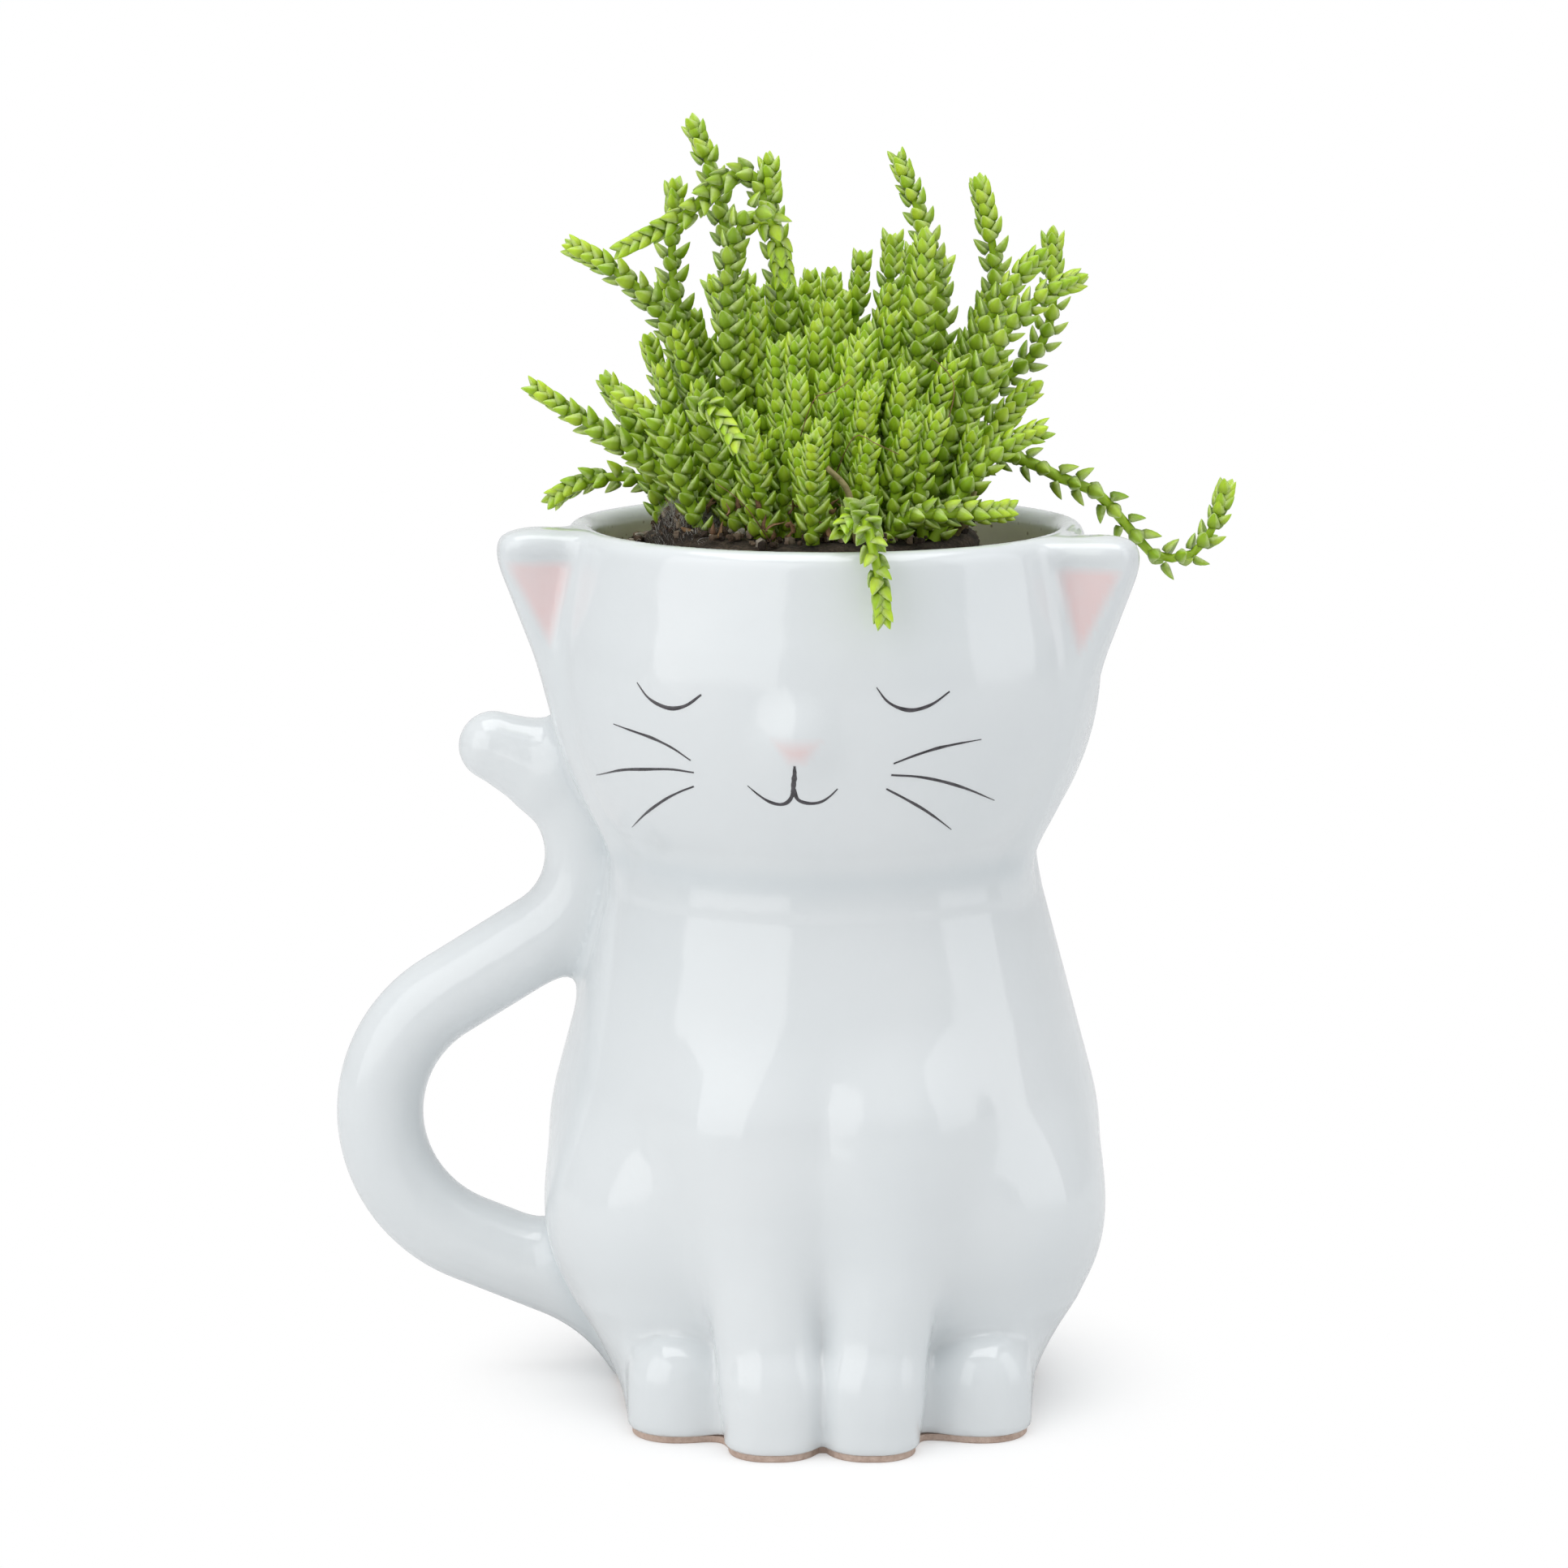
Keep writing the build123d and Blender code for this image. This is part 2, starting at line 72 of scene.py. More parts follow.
# %% [markdown]
# ## Making a piece
# A piece could be put together from Blender's primitives and modifiers. Cast clay, crumbs and leaves are
# too free for those, so every piece is a mesh made from arrays of points in millimetres. One helper turns
# arrays into an object, and another writes a value on each point, which the material reads to change colour
# over the piece.


# %% Mesh helpers
def make_object(name, points_mm, faces, material=None, smooth=True):
    """Mesh object from points in millimetres."""
    mesh = bpy.data.meshes.new(name)
    mesh.from_pydata(np.asarray(points_mm, float) * MM, [], [tuple(map(int, face)) for face in faces])
    mesh.update()
    if smooth:
        mesh.shade_smooth()
    piece = bpy.data.objects.new(name, mesh)
    bpy.context.scene.collection.objects.link(piece)
    if material:
        mesh.materials.append(material)
    return piece


def point_values(piece, name, values):
    """Float values on the points, for shaders to read."""
    layer = piece.data.attributes.new(name, "FLOAT", "POINT")
    layer.data.foreach_set("value", np.asarray(values, np.float32))


# %% [markdown]
# ## Wiring a material
# A material is a tree of nodes, whose inputs are set to a value or linked to another node. It could be
# wired by hand in the shader editor, but a script can be read and repeated. The same few steps come back in
# each material: read a value of the points, mix two colours, stretch a value, turn a height into relief.
# Each of them is a short helper that returns the socket to wire on.


# %% Shader helpers
def feed(tree, node, **inputs):
    """Sets or links inputs of a node, named by their label, or by their number as i0, i1 and so on."""
    for key, value in inputs.items():
        numbered = key[0] == "i" and key[1:].isdigit()
        socket = node.inputs[int(key[1:]) if numbered else key.replace("_", " ")]
        if isinstance(value, bpy.types.NodeSocket):
            tree.links.new(value, socket)
        else:
            socket.default_value = value


def add_node(tree, kind, settings=None, **inputs):
    """Node with its settings and inputs."""
    node = tree.nodes.new(kind)
    for key, value in (settings or {}).items():
        setattr(node, key, value)
    feed(tree, node, **inputs)
    return node


def make_material(name):
    """Material with a Principled shader; returns it with its node tree and shader."""
    material = bpy.data.materials.new(name)
    material.use_nodes = True
    tree = material.node_tree
    return material, tree, tree.nodes["Principled BSDF"]


def point_value(tree, name):
    """Value that the points of a piece carry under a name."""
    return add_node(tree, "ShaderNodeAttribute", {"attribute_name": name}).outputs["Fac"]


def mix_colours(tree, share, first, second):
    """Colour between two colours."""
    return add_node(tree, "ShaderNodeMix", {"data_type": "RGBA"}, i0=share, i6=first, i7=second).outputs[2]


def combine(tree, operation, a, b, clamp=False):
    """Sum, product or power of two values."""
    settings = {"operation": operation, "use_clamp": clamp}
    return add_node(tree, "ShaderNodeMath", settings, i0=a, i1=b).outputs[0]


def stretch(tree, value, low, high, new_low=0.0, new_high=1.0):
    """Value taken from one range to another."""
    return add_node(tree, "ShaderNodeMapRange", Value=value, From_Min=low, From_Max=high, To_Min=new_low,
                    To_Max=new_high).outputs[0]


def relief(tree, height, strength, depth):
    """Normal that shows a height as relief, with its depth in metres."""
    return add_node(tree, "ShaderNodeBump", Strength=strength, Distance=depth, Height=height).outputs[0]


# %% [markdown]
# ## Shared shader effects
# Cork, soil and peat are grainy, and glaze and leaves are slowly uneven. Each material could hold noise
# nodes of its own, but these two effects serve several materials, so they are node groups, built once.
# "grain" mixes two colours by fine and coarse noise. "drift" gives the slow unevenness of a glaze or a
# leaf. Both put out colours and values only, and the shader itself stays in each material.


# %% Shared node groups
def new_group(name, inputs, outputs):
    """Node group with its interface and its two end nodes."""
    group = bpy.data.node_groups.new(name, "ShaderNodeTree")
    for label, kind, default in inputs:
        socket = group.interface.new_socket(label, in_out="INPUT", socket_type=kind)
        socket.default_value = default
    for label, kind in outputs:
        group.interface.new_socket(label, in_out="OUTPUT", socket_type=kind)
    return group, group.nodes.new("NodeGroupInput"), group.nodes.new("NodeGroupOutput")


COLOUR, VALUE = "NodeSocketColor", "NodeSocketFloat"

grain, grain_in, grain_out = new_group(
    "grain",
    [("Dark", COLOUR, (0, 0, 0, 1)), ("Light", COLOUR, (1, 1, 1, 1)), ("Scale", VALUE, 900.0),
     ("Balance", VALUE, 0.5)],
    [("Color", COLOUR), ("Height", VALUE)],
)
place, scale = add_node(grain, "ShaderNodeTexCoord").outputs["Object"], grain_in.outputs["Scale"]
fine = add_node(grain, "ShaderNodeTexNoise", Vector=place, Scale=scale, Detail=6.0, Roughness=0.65)
coarse = add_node(grain, "ShaderNodeTexVoronoi", Vector=place, Scale=combine(grain, "MULTIPLY", scale, 0.22))
both = add_node(grain, "ShaderNodeMath", {"operation": "MULTIPLY_ADD"}, i0=coarse.outputs["Distance"],
                i1=0.35, i2=fine.outputs["Fac"]).outputs[0]
shifted = combine(grain, "POWER", stretch(grain, both, 0.38, 0.92), grain_in.outputs["Balance"])
mixed = mix_colours(grain, shifted, grain_in.outputs["Dark"], grain_in.outputs["Light"])
feed(grain, grain_out, Color=mixed, Height=both)

drift, drift_in, drift_out = new_group(
    "drift",
    [("Scale", VALUE, 25.0), ("Low", VALUE, 0.0), ("High", VALUE, 1.0)],
    [("Value", VALUE)],
)
place = add_node(drift, "ShaderNodeTexCoord").outputs["Object"]
slow = add_node(drift, "ShaderNodeTexNoise", Vector=place, Scale=drift_in.outputs["Scale"], Detail=2.0)
ranged = stretch(drift, slow.outputs["Fac"], 0.3, 0.7, drift_in.outputs["Low"], drift_in.outputs["High"])
feed(drift, drift_out, Value=ranged)
print("groups", grain.name, drift.name)


def use_group(tree, group, **inputs):
    """Outputs of a shared group, which runs with its own inputs."""
    return add_node(tree, "ShaderNodeGroup", {"node_tree": group}, **inputs).outputs


# %% [markdown]
# ## Glaze
# The pot has a pale blue-grey white glaze, glossy and a little uneven. It is darker in the creases, partly
# where the glaze pools and partly as painted shade, most of all in the crease under the chin.
# The pink of the nose and ears is colour under the glaze, and the hollow shows a speckled cream glaze. All
# this could be painted in an image, but an image has to be unwrapped over the cat and shows its seams.
# Point values need neither: one marks the creases, with their pooled glaze and painted shade, "blush" the
# pink and "inside" the hollow. A soft bump of two scales makes the reflections waver as they do on a real
# glaze.

# %% Glaze material
glaze, tree, shader = make_material("glaze")
wander = use_group(tree, drift, Scale=26.0, Low=0.0, High=0.28)["Value"]
# Darker where glaze pools in the creases, where shade is painted under the chin, and a little at random.
depth = combine(tree, "ADD", point_value(tree, "pool_and_shade"), wander, clamp=True)
outer_colour = mix_colours(tree, depth, (0.80, 0.825, 0.835, 1), (0.63, 0.685, 0.71, 1))
place = add_node(tree, "ShaderNodeTexCoord").outputs["Object"]
specks = add_node(tree, "ShaderNodeTexVoronoi", Vector=place, Scale=620.0).outputs["Distance"]
speck_share = stretch(tree, specks, 0.10, 0.22)
inner_colour = mix_colours(tree, speck_share, (0.45, 0.38, 0.28, 1), (0.92, 0.89, 0.77, 1))
body_colour = mix_colours(tree, point_value(tree, "inside"), outer_colour, inner_colour)
patchy = use_group(tree, drift, Scale=160.0, Low=0.75, High=1.0)["Value"]
pink_share = combine(tree, "MULTIPLY", point_value(tree, "blush"), patchy, clamp=True)
colour = mix_colours(tree, pink_share, body_colour, (0.86, 0.56, 0.54, 1))
ripple = use_group(tree, drift, Scale=75.0, Low=0.0, High=1.0)["Value"]
peel = use_group(tree, drift, Scale=520.0, Low=0.0, High=0.10)["Value"]
waver = relief(tree, combine(tree, "ADD", ripple, peel), 0.22, 0.0006)
feed(tree, shader, Base_Color=colour, Normal=waver, Roughness=0.10, IOR=1.56, Coat_Weight=0.35,
     Coat_Roughness=0.04, Subsurface_Weight=0.06, Subsurface_Radius=(0.004, 0.004, 0.004))
print(glaze.name)

# %% [markdown]
# ## Shape of the glazed pot
# A slip-cast pot has no sharp edge: clay and glaze round every crease. It could be joined from solids with
# booleans and bevels, but those fail where many round forms meet. Its form is therefore written as
# distances, which are below zero inside a form and can be blended. The head is a ball with straight
# tangents, and so is the body. The legs and heels are bars, the paws rounded blocks, the haunches balls and
# the ears wedges. Each blend has its own width, small under the chin and wide at the legs.


# %% Distances and blends
def smooth_min(a, b, k):
    """Smaller of two distances, blended over a width k."""
    share = np.clip(0.5 + 0.5 * (b - a) / k, 0, 1)
    return b + (a - b) * share - k * share * (1 - share)


def smooth_max(a, b, k):
    """Larger of two distances, blended over a width k."""
    return -smooth_min(-a, -b, k)


def turned(points, degrees):
    """Points turned back round the Z axis, so that a turned form can be written straight."""
    turn = math.radians(degrees)
    x, y, z = points
    return x * math.cos(turn) + y * math.sin(turn), -x * math.sin(turn) + y * math.cos(turn), z


def touch_turn(radius, rise, end_radius):
    """Angle up a ball at which the straight line to the end point just touches it."""
    return math.atan2(rise, end_radius) - math.acos(radius / math.hypot(rise, end_radius))


def ball_with_tangents(across, height, radius, top_turn, low_turn):
    """Distance to a ball whose outline runs on straight above one angle and below another."""
    turn = np.clip(np.arctan2(height, across), -low_turn, top_turn)
    return across * np.cos(turn) + height * np.sin(turn) - radius


def ball(points, centre, radius):
    """Distance to a ball."""
    return np.sqrt(sum((p - c) ** 2 for p, c in zip(points, centre))) - radius


def bar(points, start, end, radius, end_radius):
    """Distance to a round bar between two points, with a radius at each."""
    along = np.subtract(end, start)
    offset = [p - s for p, s in zip(points, start)]
    share = np.clip(sum(o * a for o, a in zip(offset, along)) / float(along @ along), 0, 1)
    return (np.sqrt(sum((o - share * a) ** 2 for o, a in zip(offset, along)))
            - (radius + share * (end_radius - radius)))


def block(points, centre, halves, corner):
    """Distance to a block with rounded edges."""
    over = [np.abs(p - c) - (h - corner) for p, c, h in zip(points, centre, halves)]
    outside = np.sqrt(sum(np.maximum(o, 0) ** 2 for o in over))
    return outside + np.minimum(np.maximum(np.maximum(over[0], over[1]), over[2]), 0) - corner


# %% Sizes of the cat
RIM, BASE = 132.2, 1.0
HEAD_HEIGHT, HEAD_RADIUS, HEAD_TURN = 111.5, 41.2, -6.0
BROW_RISE, BROW_RADIUS, CHIN_DROP, CHIN_RADIUS = 20.5, 38.3, 30.2, 28.5
NECK_HEIGHT, NECK_RADIUS, NECK_HALF = 82.0, 31.3, 3.0
BODY_DROP, BODY_RADIUS, BODY_LEAN = 45.0, 42.0, 4.0
SHOULDER_RISE, SHOULDER_RADIUS, SEAT_DROP, SEAT_RADIUS = 47.0, 30.9, 36.2, 32.0
FORELEG_SHIFT, HIND_SHIFT, MIDDLE_ROUNDING = -0.6, 0.6, 0.5

# A ball is its centre and radius, a bar its ends and their radii, a block its centre, half sides and corner.
HAUNCH_BALL = (18.6, -8.6, 30.0), 23.6
HEEL_BAR = (20.4, -12.0, 0.0), (20.4, -12.0, 17.0), 9.1, 16.2
FORELEG_BAR = (7.4, -35.6, 8.0), (10.4, -29.0, 46.0), 7.2, 9.8
FRONT_PAW_BLOCK = (7.25, -35.4, 0.0), (7.1, 8.2, 16.2), 6.4
WEB_BLOCK = (15.2, -24.5, 0.0), (6.0, 7.2, 11.0), 3.0
HIND_PAW_BLOCK = (22.4, -25.4, 0.0), (7.5, 8.8, 15.4), 7.2
NOSE_BALL = (0.0, -37.6, 105.6), 4.9

# Widths of the blends. At the legs and paws they change with the height or the distance from the middle.
BLEND = {"haunch": 3.2, "heel": 3.0, "front_paw": 2.2, "web": 3.0, "neck": 2.0, "head": 2.4, "nose": 4.0,
         "ear": 3.6, "base": 1.0}
FORELEG_BLEND = [0, 10, 18, 34, 50], [7.0, 4.5, 3.4, 5.0, 9.0]
HIND_PAW_BLEND, HIND_SIDE_BLEND = ([0, 8, 14], [4.0, 2.4, 2.0]), ([26, 30], [0, 4.0])

head_turns = touch_turn(HEAD_RADIUS, BROW_RISE, BROW_RADIUS), touch_turn(HEAD_RADIUS, CHIN_DROP, CHIN_RADIUS)
body_turns = (touch_turn(BODY_RADIUS, SHOULDER_RISE, SHOULDER_RADIUS),
              touch_turn(BODY_RADIUS, SEAT_DROP, SEAT_RADIUS))
print("head tangents start at", [round(math.degrees(turn), 1) for turn in head_turns], "degrees")

# %% Form of the ears
EAR_TURN, EAR_TOP, EAR_ROOT = 15.0, 133.3, 30
EAR_EDGE, EAR_EDGE_WAY = (40.4, 104.0), (0.934, 0.357)
EAR_FRONT, EAR_BACK, EAR_LEAN, EAR_LEAN_TOP = 8.4, -1.8, 0.05, 132.0
EAR_ROUNDING = {"top": 8.0, "front": 3.4, "back": 4.0, "dish": 1.2, "dish_rim": 1.3, "triangle_sides": 1.0,
                "triangle_top": 1.6}
EAR_APEX, EAR_PINK_TOP = (42.2, 115.6), 127.8
TRIANGLE_SLOPES, TRIANGLE_COSINES = (0.26, 0.51), (0.968, 0.891)
DISH_MARGIN, DISH_FRONT = 0.9, 7.5


def ear_frame(points, side):
    """How far out and how far to the front points lie, as seen from one ear."""
    turn = math.radians(HEAD_TURN - EAR_TURN if side > 0 else 180 + EAR_TURN + HEAD_TURN)
    x, y = points[:2]
    out = x * math.cos(turn) + y * math.sin(turn)
    return out, side * (x * math.sin(turn) - y * math.cos(turn))


def ear_triangle(out, z):
    """Distance outside the long triangle in the front of an ear, with rounded corners."""
    rise = z - EAR_APEX[1]
    left = (EAR_APEX[0] - TRIANGLE_SLOPES[0] * rise - out) * TRIANGLE_COSINES[0]
    right = (out - EAR_APEX[0] - TRIANGLE_SLOPES[1] * rise) * TRIANGLE_COSINES[1]
    sides = smooth_max(left, right, EAR_ROUNDING["triangle_sides"])
    return smooth_max(sides, z - EAR_PINK_TOP, EAR_ROUNDING["triangle_top"])


def ear_distance(points, side):
    """A wedge that stands out of the side of the head, with a shallow dish in its front."""
    z = points[2]
    out, front = ear_frame(points, side)
    slant = (out - EAR_EDGE[0]) * EAR_EDGE_WAY[0] - (z - EAR_EDGE[1]) * EAR_EDGE_WAY[1]
    ear = smooth_max(slant, z - EAR_TOP, EAR_ROUNDING["top"])
    ear = smooth_max(ear, front - EAR_FRONT + EAR_LEAN * (EAR_LEAN_TOP - z), EAR_ROUNDING["front"])
    ear = smooth_max(ear, EAR_BACK - front, EAR_ROUNDING["back"])
    dish = smooth_max(ear_triangle(out, z) - DISH_MARGIN, DISH_FRONT - front, EAR_ROUNDING["dish"])
    return np.maximum(smooth_max(ear, -dish, EAR_ROUNDING["dish_rim"]), EAR_ROOT - out)


# %% Form of the cat
def leaned(points):
    """Points in the frame of the body, whose axis leans back from the neck."""
    x, y, z = points
    turn = math.radians(BODY_LEAN)
    z = z - NECK_HEIGHT
    return x, y * math.cos(turn) + z * math.sin(turn), -y * math.sin(turn) + z * math.cos(turn)


def sideways(x, shift=0.0):
    """Distance from the middle, rounded there so that left and right run into each other."""
    return np.sqrt((x - shift) ** 2 + MIDDLE_ROUNDING)


def pot_outside(points):
    """Outer form of the cat without the tail."""
    x, y, z = points
    mirrored, fore, hind = [(sideways(x, shift), y, z) for shift in (0.0, FORELEG_SHIFT, HIND_SHIFT)]
    lx, ly, lz = leaned(points)
    form = ball_with_tangents(np.hypot(lx, ly), lz + BODY_DROP, BODY_RADIUS, *body_turns)
    form = smooth_min(form, ball(mirrored, *HAUNCH_BALL), BLEND["haunch"])
    form = smooth_min(form, bar(mirrored, *HEEL_BAR), BLEND["heel"])
    legs = smooth_min(bar(fore, *FORELEG_BAR), block(fore, *FRONT_PAW_BLOCK), BLEND["front_paw"])
    form = smooth_min(form, legs, np.interp(z, *FORELEG_BLEND))
    form = smooth_min(form, block(mirrored, *WEB_BLOCK), BLEND["web"])
    hind_blend = np.interp(z, *HIND_PAW_BLEND) + np.interp(mirrored[0], *HIND_SIDE_BLEND)
    form = smooth_min(form, block(hind, *HIND_PAW_BLOCK), hind_blend)
    neck = np.maximum(np.hypot(x, y) - NECK_RADIUS, np.abs(z - NECK_HEIGHT) - NECK_HALF)
    head = ball_with_tangents(np.hypot(x, y), z - HEAD_HEIGHT, HEAD_RADIUS, *head_turns)
    form = smooth_min(smooth_min(form, neck, BLEND["neck"]), head, BLEND["head"])
    form = smooth_min(form, ball(turned(points, HEAD_TURN), *NOSE_BALL), BLEND["nose"])
    for side in (-1, 1):
        form = smooth_min(form, ear_distance(points, side), BLEND["ear"])
    return smooth_max(form, BASE - z, BLEND["base"])


# %% Hollow of the pot
THROAT_FLOOR, HOLLOW_FLOOR = 70, 6
THROAT_HEIGHTS, THROAT_RADII = [0.0, 87.0, 97.0, 140.0], [26.9, 26.9, 34.3, 34.3]
BELLY_HEIGHTS = [-90.0, -77.0, -60.0, -45.0, -12.0, 0.0, 1.0]
BELLY_RADII = [26.0, 28.0, 34.6, 34.6, 26.9, 26.9, 0.0]


def hollow_distance(points):
    """Hollow of the pot: the mouth and throat upright, and the belly leaning with the body."""
    x, y, z = points
    throat = np.maximum(np.hypot(x, y) - np.interp(z, THROAT_HEIGHTS, THROAT_RADII), THROAT_FLOOR - z)
    lx, ly, lz = leaned(points)
    belly = np.hypot(lx, ly) - np.interp(lz, BELLY_HEIGHTS, BELLY_RADII)
    return np.maximum(np.minimum(throat, belly), HOLLOW_FLOOR - z)


# %% [markdown]
# ## Shape of the tail handle
# The tail is one round bar bent in a plane: a root, a loop, a neck, a waist and a free tip. It could be a
# curve with a round bevel, but its joints with the pot would then be sharp. As a distance to the line in
# the plane it is equally thick all along, and where it is luted to the pot, glaze can fill the corner. Two
# blended bars make the tip, which bends and narrows.

# %% Form of the tail
TAIL_RADIUS, TAIL_PLANE, TAIL_ROOT, TAIL_HEADING = 6.6, 6.0, (-28.0, 10.0), 180 - 22.0
TAIL_RUNS = (("line", 28.7, 0), ("arc", 21.4, -126.0), ("line", 17.6, 0), ("arc", 15.2, 108.0))
tail_lines, tail_arcs = [], []
spot, heading = np.array(TAIL_ROOT), math.radians(TAIL_HEADING)
for kind, size, turn in TAIL_RUNS:
    if kind == "line":
        end = spot + size * np.array([math.cos(heading), math.sin(heading)])
        tail_lines.append((spot, end))
        spot = end
    else:
        sense = math.copysign(1, turn)
        centre = spot + size * sense * np.array([-math.sin(heading), math.cos(heading)])
        start_angle = math.atan2(*(spot - centre)[::-1])
        heading += math.radians(turn)
        tail_arcs.append((centre, size, start_angle, math.radians(turn)))
        last = start_angle + math.radians(turn)
        spot = centre + size * np.array([math.cos(last), math.sin(last)])

TIP_START = (spot[0], TAIL_PLANE, spot[1])
TIP_END, TIP_RADIUS = (-50.1, TAIL_PLANE, 97.4), 4.95
TIP_BACK, BACK_RADIUS = (-42.0, TAIL_PLANE, 95.0), 6.4
TIP_BLEND, TIP_SEAM_BLEND, FAR = 1.2, 1.0, 1e9


def tail_distance(points):
    """A round bar along the lines and arcs of the tail, with its tip."""
    x, y, z = points
    near = np.full(np.shape(x), FAR)
    for start, end in tail_lines:
        along = end - start
        share = np.clip(((x - start[0]) * along[0] + (z - start[1]) * along[1]) / float(along @ along), 0, 1)
        near = np.minimum(near, np.hypot(x - start[0] - share * along[0], z - start[1] - share * along[1]))
    for centre, radius, start_angle, turn in tail_arcs:
        angle = np.arctan2(z - centre[1], x - centre[0])
        swept = ((angle - start_angle) * math.copysign(1, turn)) % (2 * math.pi)
        off = np.abs(np.hypot(x - centre[0], z - centre[1]) - radius)
        near = np.where(swept <= abs(turn), np.minimum(near, off), near)
    near = np.minimum(near, np.hypot(x - TIP_START[0], z - TIP_START[2]))
    rod = np.hypot(near, y - TAIL_PLANE) - TAIL_RADIUS
    tip = smooth_min(bar(points, TIP_START, TIP_END, TAIL_RADIUS, TIP_RADIUS),
                     bar(points, TIP_BACK, TIP_END, BACK_RADIUS, TIP_RADIUS), TIP_BLEND)
    return smooth_min(rod, tip, TIP_SEAM_BLEND)


print("tail runs from", tail_lines[0][0], "to", spot.round(1))

# %% The whole glazed form
TAIL_FILLETS = [0, 24, 60, 74, 84, 92, 100], [9.0, 7.0, 6.0, 4.0, 4.0, 5.0, 5.0]
LIP_ROUNDING, EAR_LIFT, EAR_LIFT_X, EAR_LIFT_WIDTH = 2.6, 0.9, 44, 7


def pot_distance(points):
    """Pot and tail blended, with the hollow cut out and a rounded lip that rises a little at the ears."""
    x, _, z = points
    outside = smooth_min(pot_outside(points), tail_distance(points), np.interp(z, *TAIL_FILLETS))
    lift = EAR_LIFT * np.exp(-((np.abs(x) - EAR_LIFT_X) / EAR_LIFT_WIDTH) ** 2)
    outside = smooth_max(outside, z - RIM - lift, LIP_ROUNDING)
    return smooth_max(outside, -hollow_distance(points), LIP_ROUNDING)


# %% [markdown]
# ## From distances to a mesh
# A form that is written as distances has no faces yet. Remeshing a rough model would give it faces, but
# with steps that a glossy glaze shows. Here the distances are worked out on a grid. Each grid cell that the
# surface passes through gets one point, and each grid edge that it crosses gets one face. The points are
# then moved onto the surface along the steepest slope. This gives an even mesh whose points all lie on the
# true form, so reflections stay clean.


# %% Surface from distances
def surface_of(distance, low, high, step):
    """Points and four-sided faces of the surface where the distance is zero."""
    axes = [np.arange(a, b + step, step) for a, b in zip(low, high)]
    grid = distance(np.meshgrid(*axes, indexing="ij", sparse=False)).astype(np.float32)
    inside = grid < 0
    size = np.array(grid.shape) - 1
    corners = [(i, j, k) for i in (0, 1) for j in (0, 1) for k in (0, 1)]
    window = lambda array, c: array[c[0]:c[0] + size[0], c[1]:c[1] + size[1], c[2]:c[2] + size[2]]
    filled = sum(window(inside, c).astype(np.int8) for c in corners)
    cells = np.argwhere((filled > 0) & (filled < 8))
    index = np.full(size, -1, np.int64)
    index[tuple(cells.T)] = np.arange(len(cells))
    total, crossings = np.zeros((len(cells), 3)), np.zeros(len(cells))
    for a in corners:
        for axis in range(3):
            if a[axis]:
                continue
            b = tuple(c + (i == axis) for i, c in enumerate(a))
            va, vb = (grid[tuple((cells + c).T)] for c in (a, b))
            cross = (va < 0) != (vb < 0)
            share = np.where(cross, va / np.where(va == vb, 1, va - vb), 0)
            total[cross] += (np.array(a) + share[:, None] * np.subtract(b, a))[cross]
            crossings += cross
    points = (cells + total / crossings[:, None]) * step + np.array([axis[0] for axis in axes])
    faces = []
    for axis in range(3):
        u, v = (axis + 1) % 3, (axis + 2) % 3
        change = np.diff(inside.astype(np.int8), axis=axis)
        edges = np.argwhere(change != 0)
        in_u, in_v = edges[:, u], edges[:, v]
        edges = edges[(in_u > 0) & (in_v > 0) & (in_u < size[u]) & (in_v < size[v])]
        out = change[tuple(edges.T)] < 0
        ring = []
        for du, dv in ((-1, -1), (0, -1), (0, 0), (-1, 0)):
            cell = edges.copy()
            cell[:, u] += du
            cell[:, v] += dv
            ring.append(index[tuple(cell.T)])
        ring = np.stack(ring, 1)
        ring[~out] = ring[~out][:, ::-1]
        faces.append(ring)
    return settle(distance, points, step), np.vstack(faces)


def slope_of(distance, points, reach=0.05):
    """Direction in which the distance grows fastest, by central differences."""
    slope = np.zeros_like(points)
    for axis in range(3):
        shift = np.zeros(3)
        shift[axis] = reach
        slope[:, axis] = (distance((points + shift).T) - distance((points - shift).T)) / (2 * reach)
    return slope


def settle(distance, points, step):
    """Points moved onto the surface in a few short steps."""
    for _ in range(5):
        slope = slope_of(distance, points)
        move = distance(points.T)[:, None] * slope / np.maximum((slope**2).sum(1, keepdims=True), 0.2)
        length = np.linalg.norm(move, axis=1, keepdims=True)
        points = points - move * np.minimum(1, 0.5 * step / np.maximum(length, 1e-9))
    return points


GRID_STEP = 0.75
GRID_LOW, GRID_HIGH = (-77, -46, -1), (53, 48, 136)
pot_points, pot_faces = surface_of(pot_distance, GRID_LOW, GRID_HIGH, GRID_STEP)
print("glazed surface:", len(pot_points), "points,", len(pot_faces), "faces")

# %% [markdown]
# ## Pot and tail as two pieces
# The real tail is a separate casting, luted on before glazing. It could be a closed mesh pushed into the
# pot, but that shows a hard line where the two cross. So one surface is made and shared out: the faces
# nearest to the tail become the tail's piece, and the rest the pot's. They share the seam's points, so no
# line shows. The point values say where the glaze pools and where shade is painted in the creases, where
# the colour is pink and where the hollow starts.

# %% Colour marks of the glaze
NOSE_PINK_TOP, NOSE_PINK_LOW, NOSE_LOW_HALF, NOSE_SLOPE, NOSE_FRONT = 105.3, 102.9, 1.1, 0.66, -35
NOSE_PINK, EAR_PINK, EAR_PINK_FRONT, EAR_PINK_OUT = 0.62, 0.66, 5.0, 36
# Where the band of painted shade under the chin lies.
CREASE_Y, CREASE_RADIUS, CREASE_HEIGHT, CREASE_WIDTHS = 1.0, 31.8, 83.2, (3.0, 2.2)
INSIDE_TOP, INSIDE_DEPTH, INSIDE_FADE = 131.0, 2.0, 0.6


